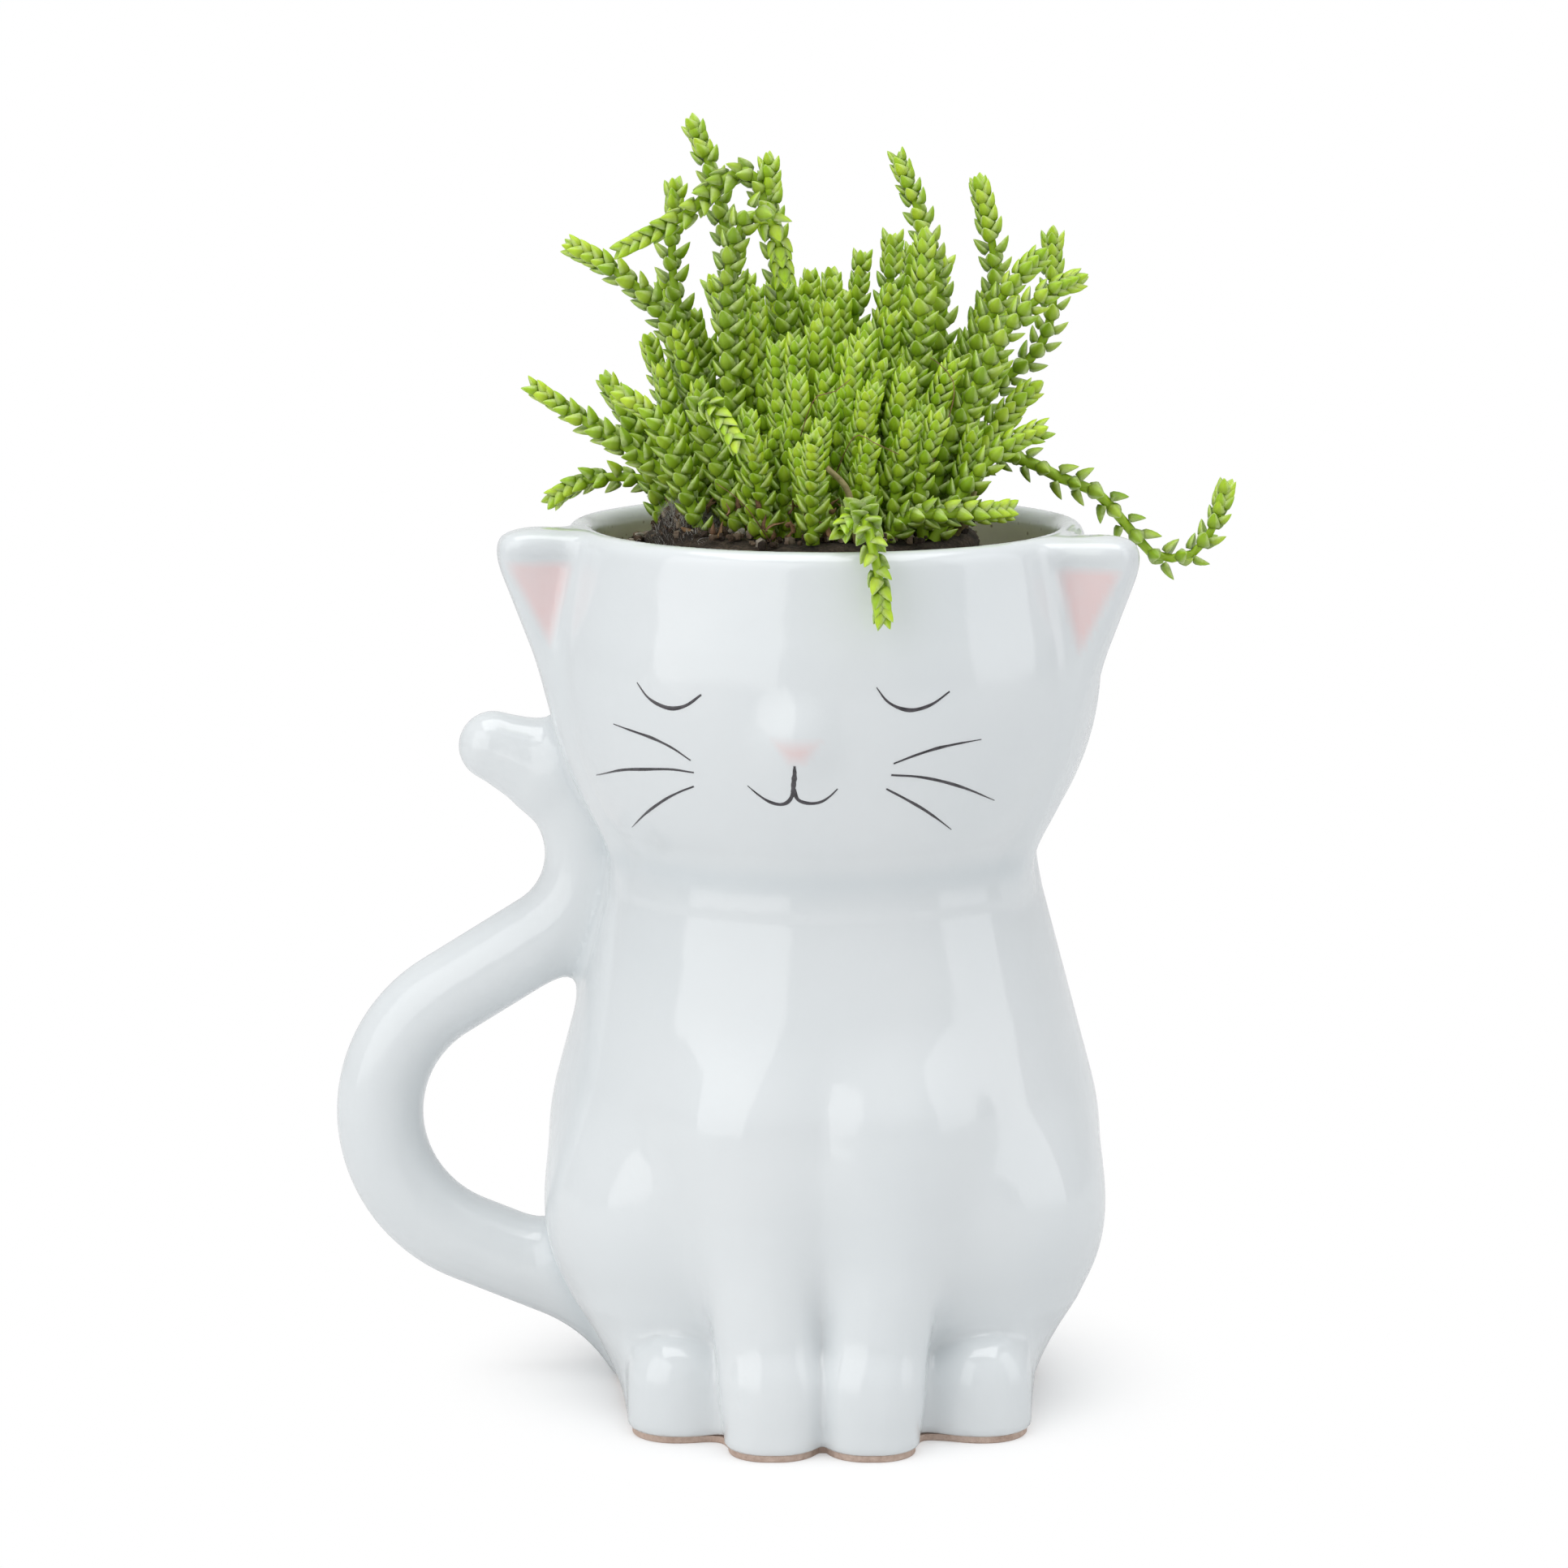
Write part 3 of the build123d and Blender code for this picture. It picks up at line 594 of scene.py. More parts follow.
def blush_of(points):
    """How pink each point is: the tip of the nose, and a triangle inside each ear."""
    fx, fy, fz = turned(points, HEAD_TURN)
    rise = fz - NOSE_PINK_LOW
    edge = np.maximum(np.maximum(fz - NOSE_PINK_TOP, -rise), np.abs(fx) - NOSE_LOW_HALF - NOSE_SLOPE * rise)
    pink = NOSE_PINK * np.clip(0.5 - edge / 2.0, 0, 1) * (fy < NOSE_FRONT)
    for side in (-1, 1):
        out, front = ear_frame(points, side)
        inside = np.clip(0.4 - ear_triangle(out, points[2]) / 1.3, 0, 1)
        pink = np.maximum(pink, EAR_PINK * inside * (front > EAR_PINK_FRONT) * (out > EAR_PINK_OUT))
    return pink


def pool_and_shade_of(points):
    """How thick the glaze lies where forms meet and it gathers, plus a painted shade along the crease under
    the chin.
    """
    x, y, z = points
    thick = np.minimum(pot_outside(points), tail_distance(points)) - pot_distance(points)
    around = (np.hypot(x, y - CREASE_Y) - CREASE_RADIUS) / CREASE_WIDTHS[0]
    above = (z - CREASE_HEIGHT) / CREASE_WIDTHS[1]
    # The first term is glaze gathered where forms meet; the second is painted shade along the crease under
    # the chin.
    return np.clip(thick * 0.35, 0, 0.6) + 0.4 * np.exp(-(around**2) - above**2)


def inside_of(points):
    """Where the surface is that of the hollow, a little below the lip."""
    on_hollow = np.clip(1 - np.abs(hollow_distance(points)) / INSIDE_FADE, 0, 1)
    return on_hollow * np.clip((INSIDE_TOP - points[2]) / INSIDE_DEPTH, 0, 1)


# %% Glazed pot and tail
columns = pot_points.T
tail_near = tail_distance(columns) < pot_outside(columns)
face_is_tail = tail_near[pot_faces].mean(1) > 0.5
castings = (("glazed_cat_pot", ~face_is_tail, "cat_pot"), ("glazed_tail", face_is_tail, "tail_handle"))
for name, chosen, node in castings:
    used, renumbered = np.unique(pot_faces[chosen], return_inverse=True)
    piece = make_object(name, pot_points[used], renumbered.reshape(-1, 4), glaze)
    for label, value_of in (("blush", blush_of), ("pool_and_shade", pool_and_shade_of), ("inside", inside_of)):
        point_values(piece, label, value_of(pot_points[used].T))
    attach(piece, "pot")
    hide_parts(node)
    print(name, len(used), "points")

# %% [markdown]
# ## Painted face
# The closed eyes, the whiskers and the mouth are brush strokes under the glaze. They could be drawn in an
# image, but fine lines in an image get soft from close by. So each stroke is read from the photo in pixels
# and cast from the camera onto the head, then laid as a thin raised ribbon that swells and tapers as a
# brush stroke does.

# %% From a pixel to the pot
RAY_START, RAY_STEPS, RAY_SHARE = 650.0, 60, 0.8


def on_pot(pixel):
    """Point of the pot that a pixel of the photo shows, found by stepping along the ray as far as is safe."""
    pitch = math.radians(CAMERA_PITCH)
    a, b = (pixel[0] - PICTURE_PX / 2) / FOCAL_PX, -(pixel[1] - PICTURE_PX / 2) / FOCAL_PX
    ray = np.array([a, math.cos(pitch) + b * math.sin(pitch), -math.sin(pitch) + b * math.cos(pitch)])
    ray /= np.linalg.norm(ray)
    reach = RAY_START
    for _ in range(RAY_STEPS):
        reach += RAY_SHARE * float(pot_outside((CAMERA_MM + reach * ray)[:, None])[0])
    return CAMERA_MM + reach * ray


def smooth_line(points, count):
    """Evenly shared points on a curve that runs through the given ones."""
    points = np.asarray(points, float)
    padded = np.vstack([2 * points[0] - points[1], points, 2 * points[-1] - points[-2]])
    line = []
    for share in np.linspace(0, len(points) - 1, count):
        i = min(int(share), len(points) - 2)
        t = share - i
        p0, p1, p2, p3 = padded[i:i + 4]
        line.append(0.5 * (2 * p1 + (p2 - p0) * t + (2 * p0 - 5 * p1 + 4 * p2 - p3) * t * t
                           + (3 * p1 - p0 - 3 * p2 + p3) * t**3))
    line = np.array(line)
    lengths = np.r_[0, np.cumsum(np.linalg.norm(np.diff(line, axis=0), axis=1))]
    even = np.linspace(0, lengths[-1], count)
    return np.stack([np.interp(even, lengths, line[:, axis]) for axis in range(line.shape[1])], 1)


# %% Brush strokes
# Each stroke has its pixels in the photo, and its width in pixels at the start, in the middle and at the end.
BRUSH_STROKES = {
    "eye_left": ([(785, 841), (797, 858), (811, 868), (828, 873), (846, 869), (864, 856)], 1.0, 4.6, 2.2),
    "eye_right": (
        [(1080, 847), (1092, 863), (1107, 872), (1125, 875), (1148, 868), (1170, 852)], 1.0, 4.4, 1.6),
    "whisker_left_top": ([(756, 892), (780, 901), (805, 910), (829, 922), (851, 937)], 0.8, 3.4, 1.6),
    "whisker_left_middle": ([(735, 955), (765, 949), (796, 948), (827, 948), (855, 952)], 0.8, 3.6, 1.8),
    "whisker_left_low": ([(779, 1019), (796, 1002), (818, 986), (837, 976), (855, 969)], 0.8, 3.2, 1.8),
    "whisker_right_top": ([(1101, 941), (1127, 931), (1155, 922), (1182, 916), (1209, 911)], 1.8, 3.4, 0.8),
    "whisker_right_middle": (
        [(1098, 955), (1130, 957), (1162, 963), (1194, 973), (1225, 986)], 2.0, 3.6, 0.8),
    "whisker_right_low": ([(1092, 972), (1113, 983), (1136, 996), (1155, 1009), (1172, 1022)], 2.0, 3.4, 0.8),
    "mouth_middle": ([(979, 944), (979, 955), (978, 965), (977, 976)], 2.4, 5.4, 4.4),
    "mouth_left": (
        [(978, 972), (975, 983), (968, 990), (958, 991), (946, 987), (934, 979), (921, 968)], 4.4, 3.8, 0.7),
    "mouth_right": (
        [(978, 972), (982, 984), (991, 989), (1003, 990), (1014, 987), (1024, 980), (1032, 972)],
        4.4, 3.6, 1.2),
}
STROKE_PX_PER_MM, STROKE_SAMPLES, BRUSH_TREMBLE = 6.6, 26, 0.08
RIBBON = ((-0.5, -0.05), (-0.42, 0.05), (0, 0.10), (0.42, 0.05), (0.5, -0.05))

ink, tree, shader = make_material("face_line_ink")
streaks = use_group(tree, drift, Scale=900.0, Low=0.0, High=1.0)["Value"]
tint = mix_colours(tree, streaks, (0.012, 0.010, 0.013, 1), (0.060, 0.052, 0.062, 1))
feed(tree, shader, Base_Color=tint, Roughness=0.14, Coat_Weight=0.5)

points, faces = [], []
for pixels, start_width, middle_width, end_width in BRUSH_STROKES.values():
    line = smooth_line([on_pot(pixel) for pixel in pixels], STROKE_SAMPLES)
    along = np.gradient(line, axis=0)
    normal = slope_of(pot_outside, line)
    normal /= np.linalg.norm(normal, axis=1, keepdims=True)
    across = np.cross(along, normal)
    across /= np.linalg.norm(across, axis=1, keepdims=True)
    share = np.linspace(0, 1, len(line))
    width = np.interp(share, [0, 0.5, 1], [start_width, middle_width, end_width]) / STROKE_PX_PER_MM
    width *= 1 + BRUSH_TREMBLE * np.sin(share * 23 + len(points))
    first = len(points)
    for offset, lift in RIBBON:
        side = settle(pot_outside, line + across * width[:, None] * offset, 0.5)
        points.extend(side + normal * lift)
    for column in range(len(RIBBON) - 1):
        for row in range(STROKE_SAMPLES - 1):
            a = first + column * STROKE_SAMPLES + row
            faces.append((a, a + 1, a + STROKE_SAMPLES + 1, a + STROKE_SAMPLES))
face_lines = make_object("painted_face_lines", points, faces, ink)
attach(face_lines, "pot")
print("painted strokes:", len(BRUSH_STROKES))

# %% [markdown]
# ## Grainy materials
# Cork, potting mix and peat are all grains of two tones. Pictures of each could be wrapped round the
# pieces, but they repeat and show seams. So the colours and the relief come from the shared grain effect,
# at the scale of each. The body of the potting mix keeps its CAD shape and is only coloured.


# %% Cork, soil and peat materials
def grainy(name, dark, light, scale, balance, roughness, depth):
    """Rough material whose colour and relief come from the grain effect."""
    material, tree, shader = make_material(name)
    grains = use_group(tree, grain, Dark=dark, Light=light, Scale=scale, Balance=balance)
    feed(tree, shader, Base_Color=grains["Color"], Normal=relief(tree, grains["Height"], 0.9, depth),
         Roughness=roughness)
    return material


cork = grainy("cork", (0.46, 0.31, 0.24, 1), (0.74, 0.58, 0.49, 1), 1100.0, 0.8, 0.85, 0.0004)
mix_soil = grainy("potting_mix", (0.045, 0.032, 0.022, 1), (0.34, 0.28, 0.22, 1), 1300.0, 1.9, 0.95, 0.0008)
peat = grainy("peat", (0.016, 0.012, 0.010, 1), (0.12, 0.085, 0.060, 1), 1500.0, 1.7, 0.95, 0.0009)
mix_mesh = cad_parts["potting_mix"].data
mix_mesh.materials.clear()
mix_mesh.materials.append(mix_soil)
print(cork.name, mix_soil.name, peat.name)

# %% [markdown]
# ## Cork pad
# A thin pad of cork under the paws keeps the glaze off the sill. The CAD pad could be kept as it is, but
# the paws are rounder here than in the CAD. So the pad is cut to the outline of these paws, set back a
# little, and runs straight across the notches between them. The outline is measured on the form of the pot,
# just above the pad, by looking inwards from all sides.

# %% Cork pad
PAD_CENTRE, PAD_MARGIN, PAD_BEVEL, PAD_SIDES = (0.0, -8.0), 0.7, 0.15, 360
LOOK_FROM, LOOK_TO, LOOK_STEP, LOOK_HEIGHT, BRIDGED_SIDES = 60.0, 8.0, 0.25, 3.0, 5


def around_pad(reach, angles):
    """Places at a reach and an angle from the middle of the pad."""
    return PAD_CENTRE[0] + reach * np.cos(angles), PAD_CENTRE[1] + reach * np.sin(angles)


def pad_reach(angles):
    """Reach of the pad at each angle: where the margin round the paws is met first from outside."""
    reach = np.arange(LOOK_FROM, LOOK_TO, -LOOK_STEP)[:, None]
    x, y = around_pad(reach, angles)
    over = pot_outside((x, y, np.full(x.shape, LOOK_HEIGHT))) + PAD_MARGIN
    first = (over < 0).argmax(0)
    here, before = (np.take_along_axis(over, row[None], 0)[0] for row in (first, first - 1))
    found = reach[first, 0] + LOOK_STEP * here / (here - before)
    shifts = range(-BRIDGED_SIDES, BRIDGED_SIDES + 1)
    return np.maximum(found, np.mean([np.roll(found, shift) for shift in shifts], axis=0))


angles = np.linspace(0, 2 * math.pi, PAD_SIDES, endpoint=False)
reach = pad_reach(angles)
pad_points, pad_faces = [], []
for inset, height in ((0.0, BASE), (0.0, PAD_BEVEL), (PAD_BEVEL, 0.0)):
    pad_points.extend(zip(*around_pad(reach - inset, angles), np.full(PAD_SIDES, height)))
pad_points.extend([(*PAD_CENTRE, BASE), (*PAD_CENTRE, 0.0)])
for side in range(PAD_SIDES):
    after = (side + 1) % PAD_SIDES
    pad_faces.append((3 * PAD_SIDES, side, after))
    pad_faces.append((3 * PAD_SIDES + 1, 2 * PAD_SIDES + after, 2 * PAD_SIDES + side))
    for ring in (0, PAD_SIDES):
        pad_faces.append((ring + side, ring + PAD_SIDES + side, ring + PAD_SIDES + after, ring + after))
pad = make_object("cork_pad_cut", pad_points, pad_faces, cork, smooth=False)
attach(pad, "pot")
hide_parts("cork_foot_pad")
print("cork pad cut to the paws,", len(pad_points), "points")

# %% [markdown]
# ## Uneven round surfaces
# Soil and peat in a round pot are round in outline but uneven all over. A displace modifier on a disc could
# do that, but the crumbs and hairs have to know the height that they lie at. So the heights are functions.
# One helper makes rings of points whose radius and height are functions, and another gives the bumps that
# the heights add.

# %% Bumps and lathe
OCTAVES, WAVES_EACH, WAVE_RATE, FINER, LOWER, WAVE_SUM = 4, 5, 0.35, 2.1, 1.9, 6


def bumps(x, y, seed):
    """Sum of waves in random directions, which reads as an uneven surface."""
    waves = np.random.default_rng(seed)
    height = np.zeros(np.shape(x))
    for octave in range(OCTAVES):
        for _ in range(WAVES_EACH):
            angle, phase = waves.uniform(0, 2 * math.pi, 2)
            rate = WAVE_RATE * FINER**octave
            height += np.sin(rate * (x * math.cos(angle) + y * math.sin(angle)) + phase) / LOWER**octave
    return height / WAVE_SUM


def ring_faces(first, rings, sides):
    """Four-sided faces between rings of points that come one after the other."""
    faces = []
    for start in range(first, first + (rings - 1) * sides, sides):
        for corner in range(sides):
            a, b = start + corner, start + (corner + 1) % sides
            faces.append((a, b, b + sides, a + sides))
    return faces


def lathe_grid(rings, sides, height_of, radius_of):
    """Points and faces of a round surface, from functions of ring and angle."""
    points = []
    angles = np.linspace(0, 2 * math.pi, sides, endpoint=False)
    for ring in range(rings):
        radius = radius_of(ring, angles)
        x, y = radius * np.cos(angles), radius * np.sin(angles)
        points.append(np.stack([x, y, height_of(ring, x, y)], 1))
    return np.vstack(points), ring_faces(0, rings, sides)


# %% [markdown]
# ## Soil round the plug and the root plug
# The mix slopes from the wall up to the plug, a little higher on the left. The plug is a round block of
# peat with a furrowed side and an uneven top. Both could be smooth solids with a relief in the material
# only, but then their edges would look machined. So both are uneven surfaces turned on the lathe.

# %% Soil surface
PLUG_X = -2.0
SOIL_SLOPE = [24, 27.6, 34, 36.5], [128.6, 127.2, 121.0, 120.4]
SOIL_INNER, SOIL_OUTER, SOIL_RINGS, SOIL_SIDES = 25.7, 34.5, 14, 200
LEFT_LIFT, LEFT_SPREAD, SOIL_BUMP, SOIL_SEED = 1.6, 0.9, 0.9, 3


def soil_height(x, y):
    """Height of the soil between the plug and the wall."""
    from_left = (np.arctan2(y, x + 1e-9) % (2 * math.pi) - math.pi) / LEFT_SPREAD
    slope = np.interp(np.hypot(x - PLUG_X, y), *SOIL_SLOPE)
    return slope + LEFT_LIFT * np.exp(-(from_left**2)) + SOIL_BUMP * bumps(x, y, SOIL_SEED)


def soil_radius(ring, angles):
    """Radius of a ring, from the round of the plug to that of the wall."""
    inner = np.hypot(PLUG_X + SOIL_INNER * np.cos(angles), SOIL_INNER * np.sin(angles))
    return inner + (SOIL_OUTER - inner) * ring / (SOIL_RINGS - 1)


points, faces = lathe_grid(SOIL_RINGS, SOIL_SIDES, lambda ring, x, y: soil_height(x, y), soil_radius)
soil_top = make_object("soil_surface", points, faces, mix_soil)
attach(soil_top, "pot")
print("soil surface:", len(points), "points")

# %% Root plug
PLUG_LEVELS = [84.0, 84.0, 88, 94, 100, 106, 112, 118, 123, 127, 129.6, 130.6, 131.2, 131.6, 131.9, 132.0,
               132.0]
PLUG_RADII = [0.5, 19.9, 20.3, 21.0, 21.6, 22.3, 23.0, 23.6, 24.1, 24.6, 24.9, 24.3, 22.5, 18, 12, 6, 0.3]
PLUG_TOP_RINGS, PLUG_BUMP, PLUG_SEED, PLUG_SIDES = 5, 0.9, 5, 160
FURROW, FURROWS, FURROW_TURN = 0.006, 37, 1.7


def plug_height(ring, x, y):
    """Level of a ring, uneven on the top of the plug."""
    top = ring >= len(PLUG_LEVELS) - PLUG_TOP_RINGS
    return PLUG_LEVELS[ring] + (PLUG_BUMP * bumps(x, y, PLUG_SEED) if top else 0 * x)


def plug_radius(ring, angles):
    """Radius of a ring, with fine furrows."""
    return PLUG_RADII[ring] * (1 + FURROW * np.sin(angles * FURROWS + ring * FURROW_TURN))


points, faces = lathe_grid(len(PLUG_LEVELS), PLUG_SIDES, plug_height, plug_radius)
points[:, 0] += PLUG_X
plug = make_object("peat_root_plug", points, faces, peat)
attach(plug, "plant")
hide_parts("root_plug")
print("root plug:", len(points), "points")

# %% [markdown]
# ## Crumbs
# Loose crumbs of bark, grit and perlite lie on the soil and on the peat. A particle system could scatter
# them, but a mesh of its own for each patch is simpler to place and to export. They are small random
# stones, from nearly black to nearly white, and seeded so that every run gives the same ones.


# %% Crumb builder
def crumb_field(name, count, place_of, size_range, material, seed):
    """Many small uneven stones in one mesh."""
    rolls = np.random.default_rng(seed)
    cube = np.array([(x, y, z) for x in (-1, 1) for y in (-1, 1) for z in (-1, 1)], float)
    tops = np.array([(0, 0, 1.35), (0, 0, -1.35), (1.35, 0, 0), (-1.35, 0, 0), (0, 1.35, 0), (0, -1.35, 0)])
    shape = np.vstack([cube, tops])
    sides = [(8, (1, 5, 7, 3)), (9, (0, 2, 6, 4)), (10, (4, 6, 7, 5)), (11, (0, 1, 3, 2)),
             (12, (2, 3, 7, 6)), (13, (0, 4, 5, 1))]
    points, faces, shades = [], [], []
    for _ in range(count):
        centre = place_of(rolls)
        size = rolls.uniform(*size_range) * 0.5
        stone = shape * (1 + rolls.normal(0, 0.16, shape.shape)) * size * 0.62
        stone *= rolls.uniform(0.6, 1.1, 3)
        turn = rolls.uniform(0, 2 * math.pi)
        cosine, sine = math.cos(turn), math.sin(turn)
        stone = stone @ np.array([[cosine, sine, 0], [-sine, cosine, 0], [0, 0, 1]])
        first = len(points)
        points.extend(stone + centre)
        for top, ring in sides:
            for a, b in zip(ring, ring[1:] + ring[:1]):
                faces.append((first + top, first + a, first + b))
        shades.extend([rolls.uniform()] * len(shape))
    piece = make_object(name, points, faces, material, smooth=False)
    point_values(piece, "shade", shades)
    return piece


# %% Crumb material
CRUMB_TONES = ((0.35, (0.075, 0.045, 0.028, 1)), (0.7, (0.20, 0.14, 0.095, 1)), (0.9, (0.34, 0.29, 0.23, 1)))
crumb, tree, shader = make_material("soil_crumbs")
ramp = add_node(tree, "ShaderNodeValToRGB", Fac=point_value(tree, "shade"))
ramp.color_ramp.elements[0].color = (0.020, 0.013, 0.009, 1)
ramp.color_ramp.elements[1].color = (0.62, 0.58, 0.50, 1)
for position, tone in CRUMB_TONES:
    ramp.color_ramp.elements.new(position).color = tone
pits = use_group(tree, drift, Scale=2200.0, Low=0.0, High=1.0)["Value"]
feed(tree, shader, Base_Color=ramp.outputs["Color"], Normal=relief(tree, pits, 0.7, 0.0002), Roughness=0.9)
print(crumb.name)

# %% Crumbs on the soil and on the plug
SOIL_BAND, PLUG_DISC, PLUG_FACE = (27.8, 33.3), 24.0, 131.9


def on_soil(rolls):
    """Random place on the soil."""
    angle, radius = rolls.uniform(0, 2 * math.pi), rolls.uniform(*SOIL_BAND)
    x, y = radius * math.cos(angle), radius * math.sin(angle)
    return np.array([x, y, float(soil_height(x, y)) + 0.2])


def on_plug_top(rolls):
    """Random place on the top of the plug."""
    angle, radius = rolls.uniform(0, 2 * math.pi), PLUG_DISC * math.sqrt(rolls.uniform())
    x, y = radius * math.cos(angle), radius * math.sin(angle)
    return np.array([x + PLUG_X, y, PLUG_FACE + PLUG_BUMP * float(bumps(x, y, PLUG_SEED))])


soil_crumbs = crumb_field("soil_crumbs", 900, on_soil, (0.5, 1.9), crumb, 21)
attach(soil_crumbs, "pot")
plug_crumbs = crumb_field("peat_crumbs", 700, on_plug_top, (0.5, 1.8), crumb, 22)
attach(plug_crumbs, "plant")
print("crumbs made")

# %% [markdown]
# ## Heap of fine peat
# On the left edge of the plug lies a small heap of fine peat, with crumbs in it and pale fuzz and root
# hairs on it. It could be sculpted, but a bump over a round grid is enough, drawn in where it would hang
# over the edge of the plug. Hairs could come from Blender's hair system, which most file formats don't
# carry, so each hair is a narrow folded strip.

# %% Heap of peat
HEAP, HEAP_LOW, HEAP_RISE, HEAP_SPREAD = np.array([-20.5, -9.0]), 130.4, 5.2, 34.0
HEAP_BUMP, HEAP_BUMP_RATE, HEAP_SEED = 1.1, 1.6, 9
EDGE_START, EDGE_DROP, EDGE_LIMIT = 22.8, 1.2, 24.6
HEAP_RINGS, HEAP_SIDES, HEAP_FIRST, HEAP_STEP = 26, 90, 0.05, 0.38


def heap_height(x, y):
    """Height of the peat heaped on the left edge of the plug."""
    near = ((x - HEAP[0]) ** 2 + (y - HEAP[1]) ** 2) / HEAP_SPREAD
    over = np.clip(np.hypot(x - PLUG_X, y) - EDGE_START, 0, 2)
    uneven = HEAP_BUMP * bumps(x * HEAP_BUMP_RATE, y * HEAP_BUMP_RATE, HEAP_SEED)
    return HEAP_LOW + HEAP_RISE * np.exp(-near) + uneven - EDGE_DROP * over**2


def heap_point(x, y):
    """A point of the heap, drawn in where it would pass the edge of the plug."""
    draw = np.minimum(1, EDGE_LIMIT / np.hypot(x - PLUG_X, y))
    return np.stack([PLUG_X + (x - PLUG_X) * draw, y * draw, heap_height(x, y)], -1)


def on_heap(rolls):
    """Random place on the heap, most often near its middle."""
    return heap_point(*(HEAP + rolls.normal(0, 3.2, 2).clip(-8, 8)))


points, faces = lathe_grid(HEAP_RINGS, HEAP_SIDES, lambda ring, x, y: 0 * x,
                           lambda ring, angles: HEAP_FIRST + HEAP_STEP * ring + 0 * angles)
points = heap_point(points[:, 0] + HEAP[0], points[:, 1] + HEAP[1])
mound = make_object("peat_mound", points, faces, peat)
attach(mound, "plant")
mound_crumbs = crumb_field("mound_crumbs", 260, on_heap, (0.4, 1.3), crumb, 23)
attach(mound_crumbs, "plant")
print("heap:", len(points), "points")


# %% Fuzz and root hairs
def hair_field(name, count, place_of, length_range, width, material, seed, rise):
    """Many fine curved hairs in one mesh, each a narrow folded strip."""
    rolls = np.random.default_rng(seed)
    points, faces = [], []
    for _ in range(count):
        root = place_of(rolls)
        angle, length = rolls.uniform(0, 2 * math.pi), rolls.uniform(*length_range)
        lean = np.array([math.cos(angle), math.sin(angle), 0.0])
        bend = rolls.normal(0, 0.5, 3)
        side = np.cross(lean, (0, 0, 1)) * width
        upright = lean * (1 - rise) + np.array([0, 0, rise])
        first = len(points)
        for step in range(5):
            share = step / 4
            spot = root + length * (share * upright + share**2 * bend * 0.5)
            taper = 1 - 0.8 * share
            points.extend([spot - side * taper, spot + np.array([0, 0, width * taper]), spot + side * taper])
        for step in range(4):
            a = first + 3 * step
            faces.extend([(a, a + 1, a + 4, a + 3), (a + 1, a + 2, a + 5, a + 4)])
    return make_object(name, points, faces, material)


fuzz, tree, shader = make_material("pale_fuzz")
tone = use_group(tree, grain, Dark=(0.10, 0.085, 0.075, 1), Light=(0.62, 0.60, 0.57, 1), Scale=420.0,
                 Balance=1.0)["Color"]
feed(tree, shader, Base_Color=tone, Roughness=0.8)
fuzz_hairs = hair_field("peat_fuzz", 2600, on_heap, (0.7, 2.2), 0.05, fuzz, 31, 0.6)
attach(fuzz_hairs, "plant")
print("hairs made")

# %% [markdown]
# ## Leaves
# The succulent carries its leaves in pairs, each pair square to the one below, so a stem looks four-sided.
# A leaf is a thick pointed boat with a keel, pale along its edges. Each leaf could be an object of its own,
# but thousands of objects are slow. So one leaf is written once as rings of six points, and each stem
# places many scaled and turned copies of it, packed into one mesh.

# %% Leaf
LEAF_STATIONS = [0.0, 0.2, 0.48, 0.76, 0.92]
LEAF_WIDTHS = [0.92, 0.98, 0.76, 0.43, 0.17]
LEAF_KEELS = [0.74, 0.88, 0.72, 0.44, 0.18]
LEAF_RING = [(-1.0, 0.10), (-0.62, -0.55), (0.0, -1.0), (0.62, -0.55), (1.0, 0.10), (0.0, 0.22)]
# leaf_along gives the painted shade towards the stem; leaf_edge gives the pale rim and painted glints at the
# edges and the tip.
leaf_points, leaf_along, leaf_edge = [], [], []
for station, width, keel in zip(LEAF_STATIONS, LEAF_WIDTHS, LEAF_KEELS):
    for across, under in LEAF_RING:
        rise = 0.40 * under * keel + 0.10 * station**2 + 0.16 * across**2 * width
        leaf_points.append((station, 0.5 * across * width, rise))
        leaf_along.append(station)
        leaf_edge.append(abs(across) ** 3 if under > 0 and across else 0.0)
leaf_points.append((1.0, 0.0, 0.08))
leaf_along.append(1.0)
leaf_edge.append(1.0)
leaf_points = np.array(leaf_points)
corners = len(LEAF_RING)
tip = len(leaf_points) - 1
leaf_faces = ring_faces(0, len(LEAF_STATIONS), corners)
for corner in range(corners):
    leaf_faces.append((tip - corners + corner, tip - corners + (corner + 1) % corners, tip))
leaf_faces.append(tuple(reversed(range(corners))))
print("one leaf:", len(leaf_points), "points")

# %% [markdown]
# ## Leaf material
# A leaf is fresh yellow-green, with a waxy skin that lets a little light through. Its colour is lighter at
# the edges and the tip, partly a pale rim and partly painted glints, and darker towards the stem, which is
# painted shade. Old leaves low on a stem are duller and bluer than the young ones at the tips. A picture of
# one leaf would make them all alike, so the colours follow values on the points: the place along the leaf,
# the edge, the youth and a bit of chance.

# %% Leaf and stem materials
leaf, tree, shader = make_material("leaf")
along, edge, youth, chance = [point_value(tree, name) for name in ("along", "edge", "youth", "chance")]
old_tone = mix_colours(tree, chance, (0.25, 0.43, 0.010, 1), (0.42, 0.60, 0.045, 1))
young_tone = mix_colours(tree, chance, (0.37, 0.63, 0.006, 1), (0.59, 0.80, 0.030, 1))
aged = mix_colours(tree, youth, old_tone, young_tone)
# Darker towards the stem: painted shade at the base of each leaf.
with_painted_base_shade = add_node(tree, "ShaderNodeVectorMath", {"operation": "SCALE"}, i0=aged,
                  Scale=stretch(tree, along, 0.0, 0.60, 0.50, 1.0)).outputs[0]
mottle = use_group(tree, drift, Scale=1400.0, Low=0.25, High=1.0)["Value"]
